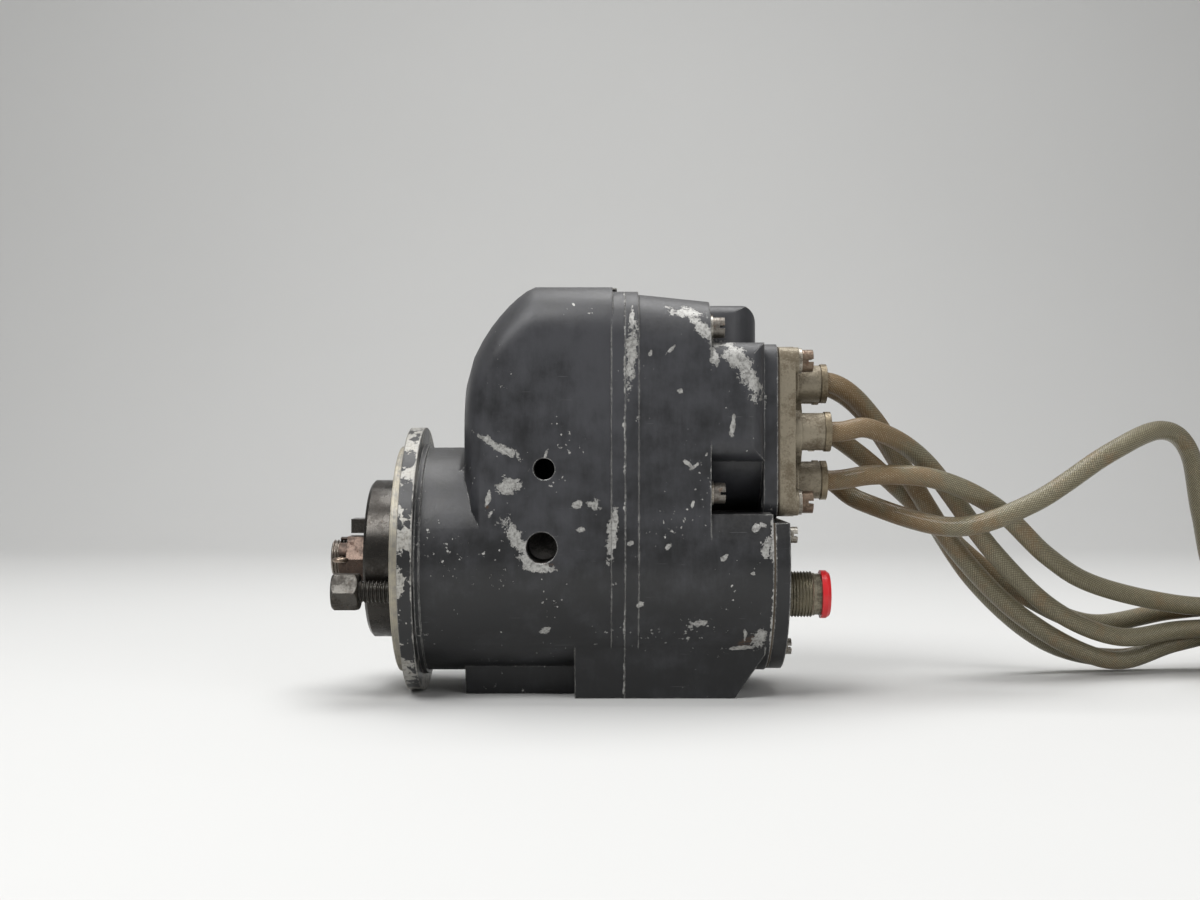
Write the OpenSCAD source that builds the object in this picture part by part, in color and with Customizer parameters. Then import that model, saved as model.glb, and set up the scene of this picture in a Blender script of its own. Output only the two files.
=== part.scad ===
// Aircraft magneto with a rotating magnet, a 3:1 distributor drive and six braided leads.
// Millimetres. X runs along the shaft towards the leads, Y across the body, Z up.
// The origin is on the shaft axis at the face of the mounting flange.

/* [Mounting flange] */
// Diameter of the mounting flange
flange_d = 112; // [106:1:126]
// Thickness of the flange rim
flange_t = 6; // [4:0.5:8]
// Diameter of the machined pilot in front of the flange
pilot_d = 96; // [96:1:102]
// Height of the pilot in front of the flange
pilot_t = 4; // [3:0.5:5]

/* [Housings] */
// Diameter of the barrel round the magnet
barrel_d = 95; // [94:0.5:100]
// Width over the flat sides of the coil tower
body_w = 94; // [93:0.5:98]
// Height of the crown above the shaft axis
crown_z = 113.5; // [112:0.5:124]
// Wall thickness of both castings
wall = 4.5; // [3.5:0.5:5]
// Radius of the rounded crown shoulders
shoulder_r = 20; // [14:1:24]
// Distance from the flange face to the front wall of the coil tower
tower_x = 25; // [24:0.5:27]
// Length of the sloping front of the coil tower
dome_len = 29; // [26:1:32]
// Height at which the sloping front begins
dome_z = 75; // [70:1:78]
// Distance from the flange face to the plane where the castings meet
part_x = 90.5; // [89:0.5:96]
// Width of the raised band on each side of that plane
band_t = 5.5; // [4:0.5:7]
// Length of the deep part of the distributor housing
shell_len = 34.5; // [34:0.5:40]
// Length of the distributor drum behind the deep part
drum_len = 22; // [21:0.5:26]
// Thickness of the outlet flange
outlet_flange_t = 5.8; // [4:0.2:8]
// Diameter of the upper vent hole
vent_small_d = 8.6; // [6:0.2:10]
// Diameter of the lower vent hole
vent_large_d = 12.5; // [10:0.5:15]
// Width of the foot under the castings
foot_w = 68; // [60:1:74]

/* [Drive end] */
// Diameter of the drive coupling disc
coupling_d = 67; // [56:1:68]
// Thickness of the drive coupling disc
coupling_t = 12; // [9:0.5:14]
// Diameter of the shaft at the drive end
shaft_d = 20; // [18:0.5:20.5]
// Diameter of the threaded shaft end
thread_d = 15.8; // [14:0.2:16.4]
// Width across the flats of the castle nut
nut_af = 19; // [18.5:0.1:19.6]
// Width across the flats of the stop bolt head
bolt_af = 14.3; // [13:0.1:14.5]
// Diameter of the stop bolt shank
bolt_d = 9.4; // [8:0.2:9.8]

/* [Gear train] */
// Module of the gears
gear_m = 1.5; // [1.48:0.01:1.52]
// Number of teeth on the pinion
pinion_teeth = 18; // [18]
// Turns of the shaft for one turn of the distributor
gear_ratio = 3; // [3]
// Width of the gear teeth
gear_w = 10; // [8:0.5:10]

/* [Magnet and coil] */
// Diameter of the rotating magnet
magnet_d = 44; // [38:1:46]
// Length of the rotating magnet
magnet_len = 38; // [30:1:39]
// Diameter of the coil winding
winding_d = 38; // [32:1:39]
// Width of the square coil core
core_w = 14; // [10:0.5:15]

/* [Outlet plate] */
// Width and height of the outlet plate
plate_w = 70; // [69:0.5:72]
// Thickness of the outlet plate
plate_t = 6.5; // [5:0.5:8]
// Radius of the circle of lead towers
tower_circle_r = 23.5; // [22:0.5:24]
// Diameter of a lead tower
tower_d = 15.5; // [14:0.5:17]
// Height of a lead tower above the plate
tower_len = 13; // [11:0.5:16]
// Thickness of the paper gaskets
gasket_t = 0.8; // [0.5:0.1:1.5]

/* [Breaker end] */
// Thickness of the breaker cover
cover_t = 6; // [2:0.5:8]
// Thread diameter of the primary receptacle
receptacle_d = 19; // [17:0.5:21]
// Threaded length of the primary receptacle
receptacle_len = 11; // [9:0.5:14]
// Diameter of the capacitor
capacitor_d = 14; // [11:0.5:15]

/* [Leads] */
// Diameter of a braided lead
lead_d = 8.4; // [7.6:0.1:8.6]
// Radius of the innermost turn of the lead coil
coil_r = 40; // [38:1:46]
// Width across the flats of the coupling nut at a lead end
plug_af = 17.5; // [15:0.5:19]

/* [Hidden] */
$fn = 64;
CLEAR = 0.3;
RUN = 0.05;
SLIP = 0.03;
barrel_r = barrel_d / 2;
half_w = body_w / 2;
side_y = max(barrel_r, half_w);
foot_z = -flange_d / 2;
cavity_r = barrel_r - wall;
lip_t = 2;
lip_d = barrel_d + 3;
foot_draft = 14;
band_top = crown_z - 2;
rear_top = crown_z - 3;
dome_steps = 8;
dome_power = 1.35;
corner_r = 14;
pinion_pitch_r = gear_m * pinion_teeth / 2;
wheel_teeth = pinion_teeth * gear_ratio;
wheel_pitch_r = gear_m * wheel_teeth / 2;
axis_z = pinion_pitch_r + wheel_pitch_r;
shell_x = part_x + shell_len;
flange_out_x = shell_x + drum_len;
outlet_x = flange_out_x + outlet_flange_t;
plate_x = outlet_x + gasket_t;
tower_end_x = plate_x + plate_t + tower_len;
rear_x = shell_x + drum_len + 3;
cover_x = rear_x + gasket_t;
receptacle_x = cover_x + cover_t;
shelf_z = axis_z - plate_w / 2 + 1.5;
drum_bore_r = plate_w / 2 - 5;
drum_r = drum_bore_r + wall;
block_r = drum_bore_r - 0.2;
box_low_z = axis_z - 12;
box_high_z = axis_z + 36;
box_half_w = half_w - 0.5;
box_end_r = 9;

// Case screws as [Y, Z], the two low ones in the side scoops and the two high ones beside the ridge
screw_low_y = half_w - 5.5;
screw_low_z = axis_z - 25;
screw_high_y = half_w - 9;
screw_high_z = axis_z + 42;
case_screw_places = [
    [-screw_low_y, screw_low_z], [screw_low_y, screw_low_z],
    [-screw_high_y, screw_high_z], [screw_high_y, screw_high_z]];
case_screw_r = 2.4;
case_boss_r = 5.5;

// Bearings as [front X, outer radius, inner radius, width]
bearing_w = 12;
front_bearing = [11, 21, shaft_d / 2, bearing_w];
rear_shaft_r = shaft_d / 2 - 1.5;
rear_bearing = [part_x - 10, 17.5, rear_shaft_r, 10];
race_t = 3;
pinion_seat_r = rear_shaft_r - 0.5;
cam_seat_r = pinion_seat_r - 2;
seal_r = 18;
plate_front_x = rear_bearing[0];

coupling_gap = 0.6;
coupling_x = -pilot_t - coupling_gap - coupling_t;
washer_t = 1.6;
nut_x = coupling_x - washer_t;
nut_h = 9;
crown_h = 3.4;
shaft_end_x = nut_x - nut_h - crown_h - 3.5;
bolt_place = [-38, -11];
bolt_head_l = 11;
bolt_gap = coupling_gap + coupling_t + CLEAR;

magnet_x = plate_front_x - 8.5 - magnet_len;
pole_gap = 0.7;
coil_x = tower_x + 31;
core_z = axis_z + 26;
winding_len = 52;

gear_x = part_x + 2.5;
gear_half_tooth = gear_m * PI / 4 - 0.22;
finger_x = gear_x + gear_w + 1.5;
finger_l = 12;
electrode_gap = 0.6;
electrode_x = finger_x + finger_l + electrode_gap;
block_x = electrode_x + 6;
distributor_shaft_r = 5;
tower_angles = [for (i = [0:5]) 60 * i];

breaker_x = shell_x;
breaker_plate_t = 3;
cam_x = breaker_x + breaker_plate_t + 2;
cam_w = 8;
cam_lobe_r = 10.4;
cam_round_r = cam_seat_r + 2.2;
cam_room_r = cam_lobe_r + 1.5;
plate_screw_y = cavity_r - 14;
plate_screw_z = -8;
cover_top_z = shelf_z - 3.5;
opening_top_z = cover_top_z - 2;
capacitor_place = [16 - cavity_r, min(5, opening_top_z - capacitor_d / 2 - CLEAR)];
cover_boss_r = 5;
cover_circle_r = cavity_r - 3;
cover_screw_z = cover_top_z - 5;
cover_screw_y = sqrt(pow(cover_circle_r, 2) - pow(cover_screw_z, 2));
cover_low_angle = 27;
cover_screw_places = concat(
    [for (side = [-1, 1]) [side * cover_screw_y, cover_screw_z]],
    [for (side = [-1, 1]) cover_circle_r * [side * sin(cover_low_angle), -cos(cover_low_angle)]]);
receptacle_place = [-25, -13.2];
arm_pivot = [22, -22];
arm_low_z = -25;

coil_place = [shell_x + 286, 4];
lead_r = lead_d / 2;
lead_pitch = lead_d + 0.2;
coil_w = 3.5 * lead_pitch;
coil_h = 3 * lead_pitch;
lead_start_x = plate_x + 2;
lead_exit_x = tower_end_x + 6;
coil_in_x = coil_place[0] - 25;
coil_out_r = coil_r - lead_r + coil_w;
tail_l = 17;
tail_angles = [for (i = [0:5]) 18 * i - 30];
tail_turn = -45;
tie_t = 1.2;

// Place of lead tower i as [Y, Z]
function tower_place(i) =
    [tower_circle_r * cos(tower_angles[i]), axis_z + tower_circle_r * sin(tower_angles[i])];

// Slot of a lead where it enters the coil, by column and layer
function coil_slot(column, layer) = [
    coil_in_x,
    coil_place[1] + coil_r + column * lead_pitch,
    foot_z + lead_r + 0.1 + layer * lead_pitch];

// Straight start of a lead inside and just behind its tower
function lead_start(i) = [
    [lead_start_x, tower_place(i)[0], tower_place(i)[1]],
    [lead_exit_x, tower_place(i)[0], tower_place(i)[1]]];

// Round points of each lead from its tower to the coil
lead_paths = [
    concat(lead_start(2), [[198, 1, 60], [216, 12, 34], [240, 20, 0],
        [272, 28, -30], [312, 38, -49]], [coil_slot(0, 0)]),
    concat(lead_start(1), [[200, 22, 60], [224, 33, 26], [252, 42, -14],
        [286, 49, -42], [322, 53, -50]], [coil_slot(1, 0)]),
    concat(lead_start(3), [[194, -20, 55], [220, -2, 41], [252, 10, 2],
        [283, 24, -25], [315, 34, -38]], [coil_slot(0, 1)]),
    concat(lead_start(0), [[194, 24, 46], [218, 24, 25], [246, 30, -1],
        [270, 36, -18], [305, 45, -33]], [coil_slot(1, 1)]),
    concat(lead_start(4), [[197, -15, 36], [222, -15, 34], [249, -6, 22],
        [276, 11, 0], [302, 26, -14]], [coil_slot(0, 2)]),
    concat(lead_start(5), [[194, 5, 24], [229, -13, 14], [261, -18, 24],
        [298, -4, 45], [325, 10, 55], [342, 22, 46], [352, 34, 18], [362, 46, -14]], [coil_slot(1, 2)])];

// Cylinder along X
module cyl_x(x, len, r) {
    translate([x, 0, 0])
        rotate([0, 90, 0])
            cylinder(h = len, r = r);
}

// Cylinder along X through a place in the YZ plane
module cyl_at(x, len, r, place) {
    translate([0, place[0], place[1]])
        cyl_x(x, len, r);
}

// Flat shape in the YZ plane, drawn out along X
module along_x(x, len) {
    translate([x, 0, 0])
        rotate([90, 0, 90])
            linear_extrude(len)
                children();
}

// Hexagonal bar along X, with a flat facing up
module hex_x(x, len, flats) {
    translate([x, 0, 0])
        rotate([0, 90, 0])
            rotate(30)
                cylinder(h = len, r = flats / sqrt(3), $fn = 6);
}

// Upright section with flat sides and round shoulders, standing on the shaft axis
module tomb(w, top, r) {
    translate([-w, 0])
        square([2 * w, top - r]);
    translate([-(w - r), 0])
        square([2 * (w - r), top]);
    for (side = [-1, 1])
        translate([side * (w - r), top - r])
            circle(r = r);
}

// Rectangle with round corners about a centre
module round_rect(w, h, r, z) {
    for (side = [-1, 1], end = [-1, 1])
        translate([side * (w / 2 - r), z + end * (h / 2 - r)])
            circle(r = r);
    translate([-w / 2, z - h / 2 + r])
        square([w, h - 2 * r]);
    translate([-w / 2 + r, z - h / 2])
        square([w - 2 * r, h]);
}

// Thin slice of the upright section, for a smooth shell
module slice(x, w, top, r) {
    along_x(x, 0.1)
        tomb(w, top, r, $fn = 32);
}

// Rise of the sloping front at a share u of its length
function dome_rise(u) = pow(1 - pow(1 - u, dome_power), 1 / dome_power);

// Width of the tower at a distance from its front wall
function corner_w(d, w) = d >= corner_r ? w : w - corner_r + sqrt(pow(corner_r, 2) - pow(corner_r - d, 2));

// Coil tower with its sloping front, set in by a wall thickness
module coil_tower(inset, end_x) {
    w = half_w - inset;
    low = dome_z - inset;
    high = crown_z - inset;
    hull() {
        for (i = [0:dome_steps])
            slice(tower_x + inset + dome_len * i / dome_steps,
                corner_w(dome_len * i / dome_steps, w),
                low + (high - low) * dome_rise(i / dome_steps), shoulder_r - inset);
        slice(end_x - 0.1, w, high, shoulder_r - inset);
    }
}

// Raised band beside the parting plane
module band(x) {
    along_x(x, band_t)
        tomb(half_w + 0.7, band_top, shoulder_r);
    cyl_x(x, band_t, barrel_r + 0.5);
}

// Ridged profile of a screw thread, turned about X
module thread_x(x, len, r, pitch, bore = 0) {
    count = floor(len / pitch);
    depth = pitch * 0.55;
    translate([x, 0, 0])
        rotate([0, 90, 0])
            rotate_extrude()
                polygon(concat([[bore, 0]],
                    [for (i = [0:count - 1], s = [0:1]) [r - (s == 0 ? depth : 0), (i + s / 2) * pitch]],
                    [[r - depth, count * pitch], [r - depth, len], [bore, len]]));
}

// Fillister screw pointing to -X, with a slotted head in front of its seat
module slotted_screw(seat_x, place, r, len, head_r, head_h) {
    translate([0, place[0], place[1]])
        difference() {
            union() {
                cyl_x(seat_x - len, len + 0.5, r);
                cyl_x(seat_x, head_h, head_r);
            }
            translate([seat_x + head_h * 0.55, -head_r * 1.5, -0.6])
                cube([head_h, head_r * 3, 1.2]);
        }
}

// Vent holes of the near side, bored to a depth past the wall
module vent_bores(depth) {
    translate([coil_x + 2, -half_w - 1, axis_z - 15.2])
        rotate([-90, 0, 0])
            cylinder(h = wall + depth, d = vent_small_d);
    translate([coil_x + 1, -side_y - 1, 7.3])
        rotate([-90, 0, 0])
            cylinder(h = side_y - min(cavity_r, half_w - wall) + depth, d = vent_large_d);
}

// Casting at the drive end with flange, neck, coil tower and foot
module drive_end_housing() {
    color("dimgray")
    difference() {
        union() {
            cyl_x(0, flange_t, flange_d / 2);
            cyl_x(flange_t - 0.5, lip_t + 0.5, lip_d / 2);
            cyl_x(-pilot_t, pilot_t + 1, pilot_d / 2);
            cyl_x(0.5, part_x - 0.5, barrel_r);
            coil_tower(0, part_x - band_t + 0.5);
            band(part_x - band_t);
            neck_fillet();
            foot(tower_x - 1, part_x - 20, foot_w * 0.55);
            foot(part_x - 20.5, part_x, foot_w);
        }
        difference() {
            union() {
                coil_tower(wall, part_x + 2);
                cyl_x(tower_x + wall, part_x, cavity_r);
            }
            for (place = case_screw_places)
                cyl_at(part_x - 16, 17, case_boss_r, place);
            difference() {
                cyl_x(plate_front_x - 7.5, 7.5, cavity_r + 1);
                cyl_x(plate_front_x - 8, 8.5, cavity_r - 5);
                translate([plate_front_x - 9, -barrel_d, 0])
                    cube([10, 2 * barrel_d, barrel_d]);
            }
        }
        difference() {
            cyl_x(flange_t + 6, tower_x + wall - flange_t - 5, cavity_r);
            cyl_x(flange_t + 5, tower_x, front_bearing[1] + wall);
        }
        cyl_x(-pilot_t - 1, flange_t + pilot_t + 1, seal_r);
        cyl_x(0, front_bearing[0] + 1, shaft_d / 2 + 2);
        cyl_x(front_bearing[0], tower_x + wall, front_bearing[1]);
        for (place = case_screw_places)
            cyl_at(part_x - 13, 14, case_screw_r + SLIP, place);
        for (angle = [225, 270, 315])
            cyl_at(plate_front_x - 7, 9, 1.6 + SLIP, plate_screw_place(angle));
        cyl_at(-pilot_t - 1, pilot_t + flange_t, bolt_d / 2 + SLIP, bolt_place);
        vent_bores(6);
    }
}

// Place of a bearing plate screw as [Y, Z]
function plate_screw_place(angle) = [(cavity_r - 2.5) * cos(angle), (cavity_r - 2.5) * sin(angle)];

// Concave fillet where the neck runs into the front wall of the coil tower
module neck_fillet() {
    fillet_r = 3;
    intersection() {
        rotate([0, 90, 0])
            rotate_extrude()
                difference() {
                    translate([barrel_r - 1, tower_x - fillet_r])
                        square([fillet_r + 1, fillet_r + 1.5]);
                    translate([barrel_r + fillet_r, tower_x - fillet_r])
                        circle(r = fillet_r);
                }
        translate([tower_x - fillet_r - 1, -half_w + corner_r + 4, 8])
            cube([fillet_r + 6, 2 * (half_w - corner_r - 4), barrel_d]);
    }
}

// Flat-bottomed foot under a length of the barrel, with drafted sides and a slope at its far end
module foot(from_x, to_x, w, slope = 0) {
    top_z = 2 - sqrt(pow(barrel_r, 2) - pow(w / 2, 2));
    high_y = w / 2 + tan(foot_draft);
    low_y = w / 2 - (top_z - foot_z + 1) * tan(foot_draft);
    intersection() {
        translate([0, w, 0])
            rotate([90, 0, 0])
                linear_extrude(2 * w)
                    polygon([[from_x, foot_z], [to_x - slope, foot_z], [to_x, top_z - 6],
                        [to_x, top_z], [from_x, top_z]]);
        along_x(from_x - 1, to_x - from_x + 2)
            polygon([[-low_y, foot_z - 1], [low_y, foot_z - 1], [high_y, top_z + 1],
                [-high_y, top_z + 1]]);
    }
}

// Casting at the lead end with the gear, distributor and breaker chambers
module distributor_housing() {
    color("dimgray")
    difference() {
        union() {
            band(part_x);
            hull() {
                slice(part_x + band_t - 0.5, half_w, rear_top, shoulder_r);
                slice(shell_x - 0.1, half_w - 0.5, rear_top - 3, shoulder_r);
            }
            cyl_x(part_x, shell_len, barrel_r);
            intersection() {
                cyl_x(shell_x - 1, rear_x - shell_x + 1, barrel_r);
                translate([shell_x - 2, -barrel_d, -barrel_d])
                    cube([rear_x, 2 * barrel_d, barrel_d + shelf_z]);
            }
            intersection() {
                along_x(shell_x - 1, drum_len + 1)
                    round_rect(2 * box_half_w, box_high_z - box_low_z, 9, (box_high_z + box_low_z) / 2);
                translate([0, 0, box_low_z - 1])
                    linear_extrude(box_high_z - box_low_z + 2)
                        rounded_end(shell_x - 2, flange_out_x, box_half_w, box_end_r);
            }
            cyl_at(shell_x - 1, drum_len + 2, drum_r, [0, axis_z]);
            along_x(flange_out_x, outlet_flange_t)
                round_rect(plate_w + 2, plate_w + 2, 9, axis_z);
            ridge();
            foot(part_x, rear_x - 2, foot_w, 12);
        }
        difference() {
            union() {
                along_x(part_x - 1, shell_len - wall + 1)
                    tomb(half_w - wall, rear_top - 3 - wall, shoulder_r - wall);
                cyl_x(part_x - 1, shell_len - wall + 1, cavity_r);
            }
            for (place = case_screw_places)
                cyl_at(part_x - 2, shell_len, case_boss_r, place);
        }
        cyl_at(shell_x - wall - 1, outlet_x, drum_bore_r, [0, axis_z]);
        along_x(shell_x, rear_x)
            breaker_opening();
        cyl_x(shell_x - wall - 1, wall + 2, pinion_seat_r + 5);
        for (place = case_screw_places)
            cyl_at(part_x - 1, shell_len + 2, case_screw_r + CLEAR, place);
        for (place = cover_screw_places)
            cyl_at(rear_x - 10, 11, 1.8 + SLIP, place);
        for (place = outlet_screw_places())
            cyl_at(flange_out_x - 1, outlet_flange_t + 2, 2.2 + SLIP, place);
        for (side = [-1, 1])
            cyl_at(shell_x - wall - 1, wall + 2, 1.6 + SLIP, [side * plate_screw_y, plate_screw_z]);
    }
}

// Flat outline with its two far corners rounded
module rounded_end(from_x, to_x, w, r) {
    translate([from_x, -w])
        square([to_x - from_x - r, 2 * w]);
    translate([from_x, r - w])
        square([to_x - from_x, 2 * (w - r)]);
    for (side = [-1, 1])
        translate([to_x - r, side * (w - r)])
            circle(r = r);
}

// Ridge between the two upper corner recesses, with a rounded end
module ridge() {
    ridge_w = 32;
    ridge_top = rear_top - 3;
    ridge_round = 8;
    intersection() {
        along_x(shell_x - 1, drum_len + 1)
            tomb(ridge_w / 2, ridge_top, 7);
        translate([0, 0, axis_z])
            linear_extrude(crown_z)
                rounded_end(shell_x - 2, flange_out_x, ridge_w / 2, ridge_w / 2 - 0.1);
        translate([0, ridge_w, axis_z])
            rotate([90, 0, 0])
                linear_extrude(2 * ridge_w)
                    rounded_end(shell_x - 2, flange_out_x, ridge_top - axis_z, ridge_round);
    }
}

// Corner screws of the outlet plate as [Y, Z]
function outlet_screw_places() =
    [for (side = [-1, 1], end = [-1, 1]) [side * (plate_w / 2 - 6), axis_z + end * (plate_w / 2 - 6)]];

// Bare plate on the crown, one end lifted past the edge
module data_plate() {
    color("silver")
        translate([coil_x + 1, -17, crown_z])
            cube([part_x - coil_x - 4, 34, 0.8]);
}

// Long screws that hold the castings together
module case_screws() {
    color("tan")
        for (place = case_screw_places)
            slotted_screw(shell_x + 1, place, case_screw_r, shell_len + 12, 4.2, 4.8);
}

// Washers under the case screw heads
module case_washers() {
    color("gray")
        for (place = case_screw_places)
            difference() {
                cyl_at(shell_x, 1, 4.8, place);
                cyl_at(shell_x - 1, 3, case_screw_r + SLIP, place);
            }
}

// Outlet plate with corner bosses, a raised rib and six lead towers
module outlet_plate() {
    color("rosybrown")
    difference() {
        union() {
            along_x(plate_x, plate_t)
                round_rect(plate_w, plate_w, 9, axis_z);
            for (place = outlet_screw_places())
                cyl_at(plate_x, plate_t + 1.6, 5.6, place);
            cyl_at(plate_x, plate_t + 5, tower_circle_r - 5, [0, axis_z]);
            for (i = [0:5]) {
                cyl_at(plate_x, plate_t + tower_len, tower_d / 2, tower_place(i));
                cyl_at(plate_x, plate_t + 3, tower_d / 2 + 1.2, tower_place(i));
            }
        }
        for (i = [0:5])
            cyl_at(plate_x - 1, plate_t + tower_len + 2, lead_r + CLEAR, tower_place(i));
        for (place = outlet_screw_places())
            cyl_at(plate_x - 1, plate_t + 4, 2.2 + CLEAR, place);
    }
}

// Paper gasket under the outlet plate
module outlet_gasket() {
    color("saddlebrown")
        along_x(outlet_x, gasket_t)
            difference() {
                round_rect(plate_w, plate_w, 9, axis_z);
                translate([0, axis_z])
                    circle(r = drum_bore_r);
                for (place = outlet_screw_places())
                    translate(place)
                        circle(r = 2.2 + CLEAR);
            }
}

// Screws of the outlet plate
module outlet_screws() {
    color("sienna")
        for (place = outlet_screw_places())
            slotted_screw(plate_x + plate_t + 3, place, 2.2, plate_t + 3 + gasket_t + outlet_flange_t - 0.5,
                4.6, 4.6);
}

// Washers under the outlet plate screws
module outlet_washers() {
    color("gray")
        for (place = outlet_screw_places())
            difference() {
                cyl_at(plate_x + plate_t + 1.6, 1.4, 5.2, place);
                cyl_at(plate_x + plate_t, 4, 2.2 + SLIP, place);
            }
}

// Rolled ferrules that close the lead towers
module lead_ferrules() {
    color("darkkhaki")
        for (i = [0:5])
            difference() {
                cyl_at(tower_end_x, 2.5, tower_d / 2 + 0.5, tower_place(i));
                cyl_at(tower_end_x - 1, 5, lead_r + SLIP, tower_place(i));
            }
}

// Opening of the breaker chamber, with the screw bosses left standing and room for the cam
module breaker_opening() {
    difference() {
        circle(r = cavity_r);
        translate([-barrel_d, opening_top_z])
            square([2 * barrel_d, barrel_d]);
        for (place = cover_screw_places)
            translate(place)
                circle(r = cover_boss_r);
    }
    circle(r = cam_room_r);
}

// Flat shape of the breaker cover
module cover_shape(r) {
    intersection() {
        circle(r = r);
        translate([-barrel_d, -barrel_d])
            square([2 * barrel_d, barrel_d + cover_top_z]);
    }
}

// Cover over the breaker chamber
module breaker_cover() {
    color("dimgray")
    difference() {
        union() {
            along_x(cover_x, cover_t)
                cover_shape(barrel_r - 0.6);
            cyl_at(cover_x, cover_t + 1, receptacle_d / 2 + 3, receptacle_place);
        }
        cyl_at(cover_x - 1, cover_t + 3, receptacle_d / 2 - 1.5 + SLIP, receptacle_place);
        for (place = cover_screw_places)
            cyl_at(cover_x - 1, cover_t + 2, 1.8 + CLEAR, place);
    }
}

// Paper gasket under the breaker cover
module breaker_cover_gasket() {
    color("saddlebrown")
        along_x(rear_x, gasket_t)
            difference() {
                cover_shape(barrel_r - 0.6);
                breaker_opening();
                for (place = cover_screw_places)
                    translate(place)
                        circle(r = 1.8 + CLEAR);
            }
}

// Screws of the breaker cover
module breaker_cover_screws() {
    color("gray")
        for (place = cover_screw_places)
            slotted_screw(receptacle_x, place, 1.8, cover_t + gasket_t + 8, 3.3, 3.4);
}

// Threaded socket for the primary lead
module primary_receptacle() {
    color("darkgoldenrod")
    translate([0, receptacle_place[0], receptacle_place[1]])
        difference() {
            union() {
                cyl_x(cover_x - 6, cover_t + 7, receptacle_d / 2 - 1.5);
                thread_x(receptacle_x + 1, receptacle_len, receptacle_d / 2, 1.27);
                cyl_x(receptacle_x + receptacle_len + 0.5, 3, receptacle_d / 2 - 1);
            }
            cyl_x(receptacle_x - 1, receptacle_len + 6, receptacle_d / 2 - 3);
        }
}

// Soft plug that keeps dirt out of the receptacle
module dust_cap() {
    color("red")
    translate([0, receptacle_place[0], receptacle_place[1]])
        rotate([0, 90, 0])
            translate([0, 0, receptacle_x + receptacle_len + 3.5])
                rotate_extrude()
                    polygon([[0, -7], [receptacle_d / 2 - 3 - SLIP, -7], [receptacle_d / 2 - 3 - SLIP, 0],
                        [receptacle_d / 2 + 0.4, 0], [receptacle_d / 2 + 0.4, 2.2],
                        [receptacle_d / 2 - 0.6, 3.6], [0, 3.6]]);
}

// Hex-headed bolt in the face of the flange
module stop_bolt() {
    head_x = -pilot_t - bolt_gap - bolt_head_l;
    color("darkslategray")
    translate([0, bolt_place[0], bolt_place[1]]) {
        intersection() {
            hex_x(head_x, bolt_head_l, bolt_af);
            translate([head_x, 0, 0])
                rotate([0, 90, 0])
                    rotate_extrude()
                        polygon([[0, 0], [bolt_af / 2 - 0.3, 0], [bolt_af * 0.578, 1.4],
                            [bolt_af * 0.578, bolt_head_l - 1.4], [bolt_af / 2 - 0.3, bolt_head_l],
                            [0, bolt_head_l]]);
        }
        thread_x(-pilot_t - bolt_gap - 0.2, bolt_gap + 0.2, bolt_d / 2, 1.6);
        cyl_x(-pilot_t - 0.5, pilot_t + flange_t - 1, bolt_d / 2 - 0.9);
        cyl_x(-pilot_t - 0.1, pilot_t + flange_t - 1.5, bolt_d / 2);
    }
}

// Lip seal on the shaft in the front of the neck
module oil_seal() {
    color("black")
    difference() {
        cyl_x(-pilot_t + 1.5, flange_t + pilot_t - 2, seal_r - SLIP);
        cyl_x(-pilot_t, flange_t + pilot_t + 2, shaft_d / 2 + RUN);
    }
}

// Ring along X
module ring_x(x, len, outer_r, inner_r) {
    difference() {
        cyl_x(x, len, outer_r);
        cyl_x(x - 1, len + 2, inner_r);
    }
}

// Outer races of both ball bearings
module bearing_outer_races() {
    color("silver")
        for (b = [front_bearing, rear_bearing])
            ring_x(b[0], b[3], b[1] - SLIP, b[1] - race_t);
}

// Inner races of both ball bearings
module bearing_inner_races() {
    color("silver")
        for (b = [front_bearing, rear_bearing])
            ring_x(b[0], b[3], b[2] + race_t, b[2] + SLIP);
}

// Balls of both bearings, resting on the inner races
module bearing_balls() {
    color("lightgray")
        for (b = [front_bearing, rear_bearing]) {
            ball_r = (b[1] - b[2] - 2 * race_t) / 2 - 0.2;
            for (angle = [0:45:315])
                rotate([angle, 0, 0])
                    translate([b[0] + b[3] / 2, 0, b[2] + race_t + ball_r + SLIP])
                        sphere(r = ball_r, $fn = 24);
        }
}

// Plate that carries the rear bearing and the distributor shaft
module bearing_plate() {
    color("lightsteelblue")
        along_x(plate_front_x, rear_bearing[3])
            difference() {
                union() {
                    circle(r = cavity_r - 0.2);
                    tomb(26, axis_z + 17, 12);
                }
                circle(r = rear_bearing[1]);
                translate([0, axis_z])
                    circle(r = distributor_shaft_r + RUN);
                for (angle = [225, 270, 315])
                    translate(plate_screw_place(angle))
                        circle(r = 1.6 + CLEAR);
            }
}

// Screws of the bearing plate
module bearing_plate_screws() {
    color("gray")
        for (angle = [225, 270, 315])
            slotted_screw(part_x, plate_screw_place(angle), 1.6, rear_bearing[3] + 6, 2.4, 1.8);
}

// Laminated iron shoes beside the magnet, rising to the coil core
module pole_shoes() {
    shoe_w = min(half_w - wall, cavity_r) - 1;
    leg_y = winding_len / 2 + 3;
    leg_w = core_w + 8;
    color("slategray")
        for (side = [-1, 1])
            difference() {
                union() {
                    along_x(magnet_x + 1, magnet_len - 2)
                        intersection() {
                            circle(r = cavity_r - SLIP);
                            translate([side > 0 ? 12 : -barrel_d - 12, -24])
                                square([barrel_d, 56]);
                        }
                    along_x(coil_x - leg_w / 2, leg_w)
                        translate([side > 0 ? leg_y : -shoe_w, 0])
                            square([shoe_w - leg_y, core_z - core_w / 2]);
                }
                cyl_x(magnet_x, magnet_len, magnet_d / 2 + pole_gap);
                vent_bores(24);
            }
}

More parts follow.
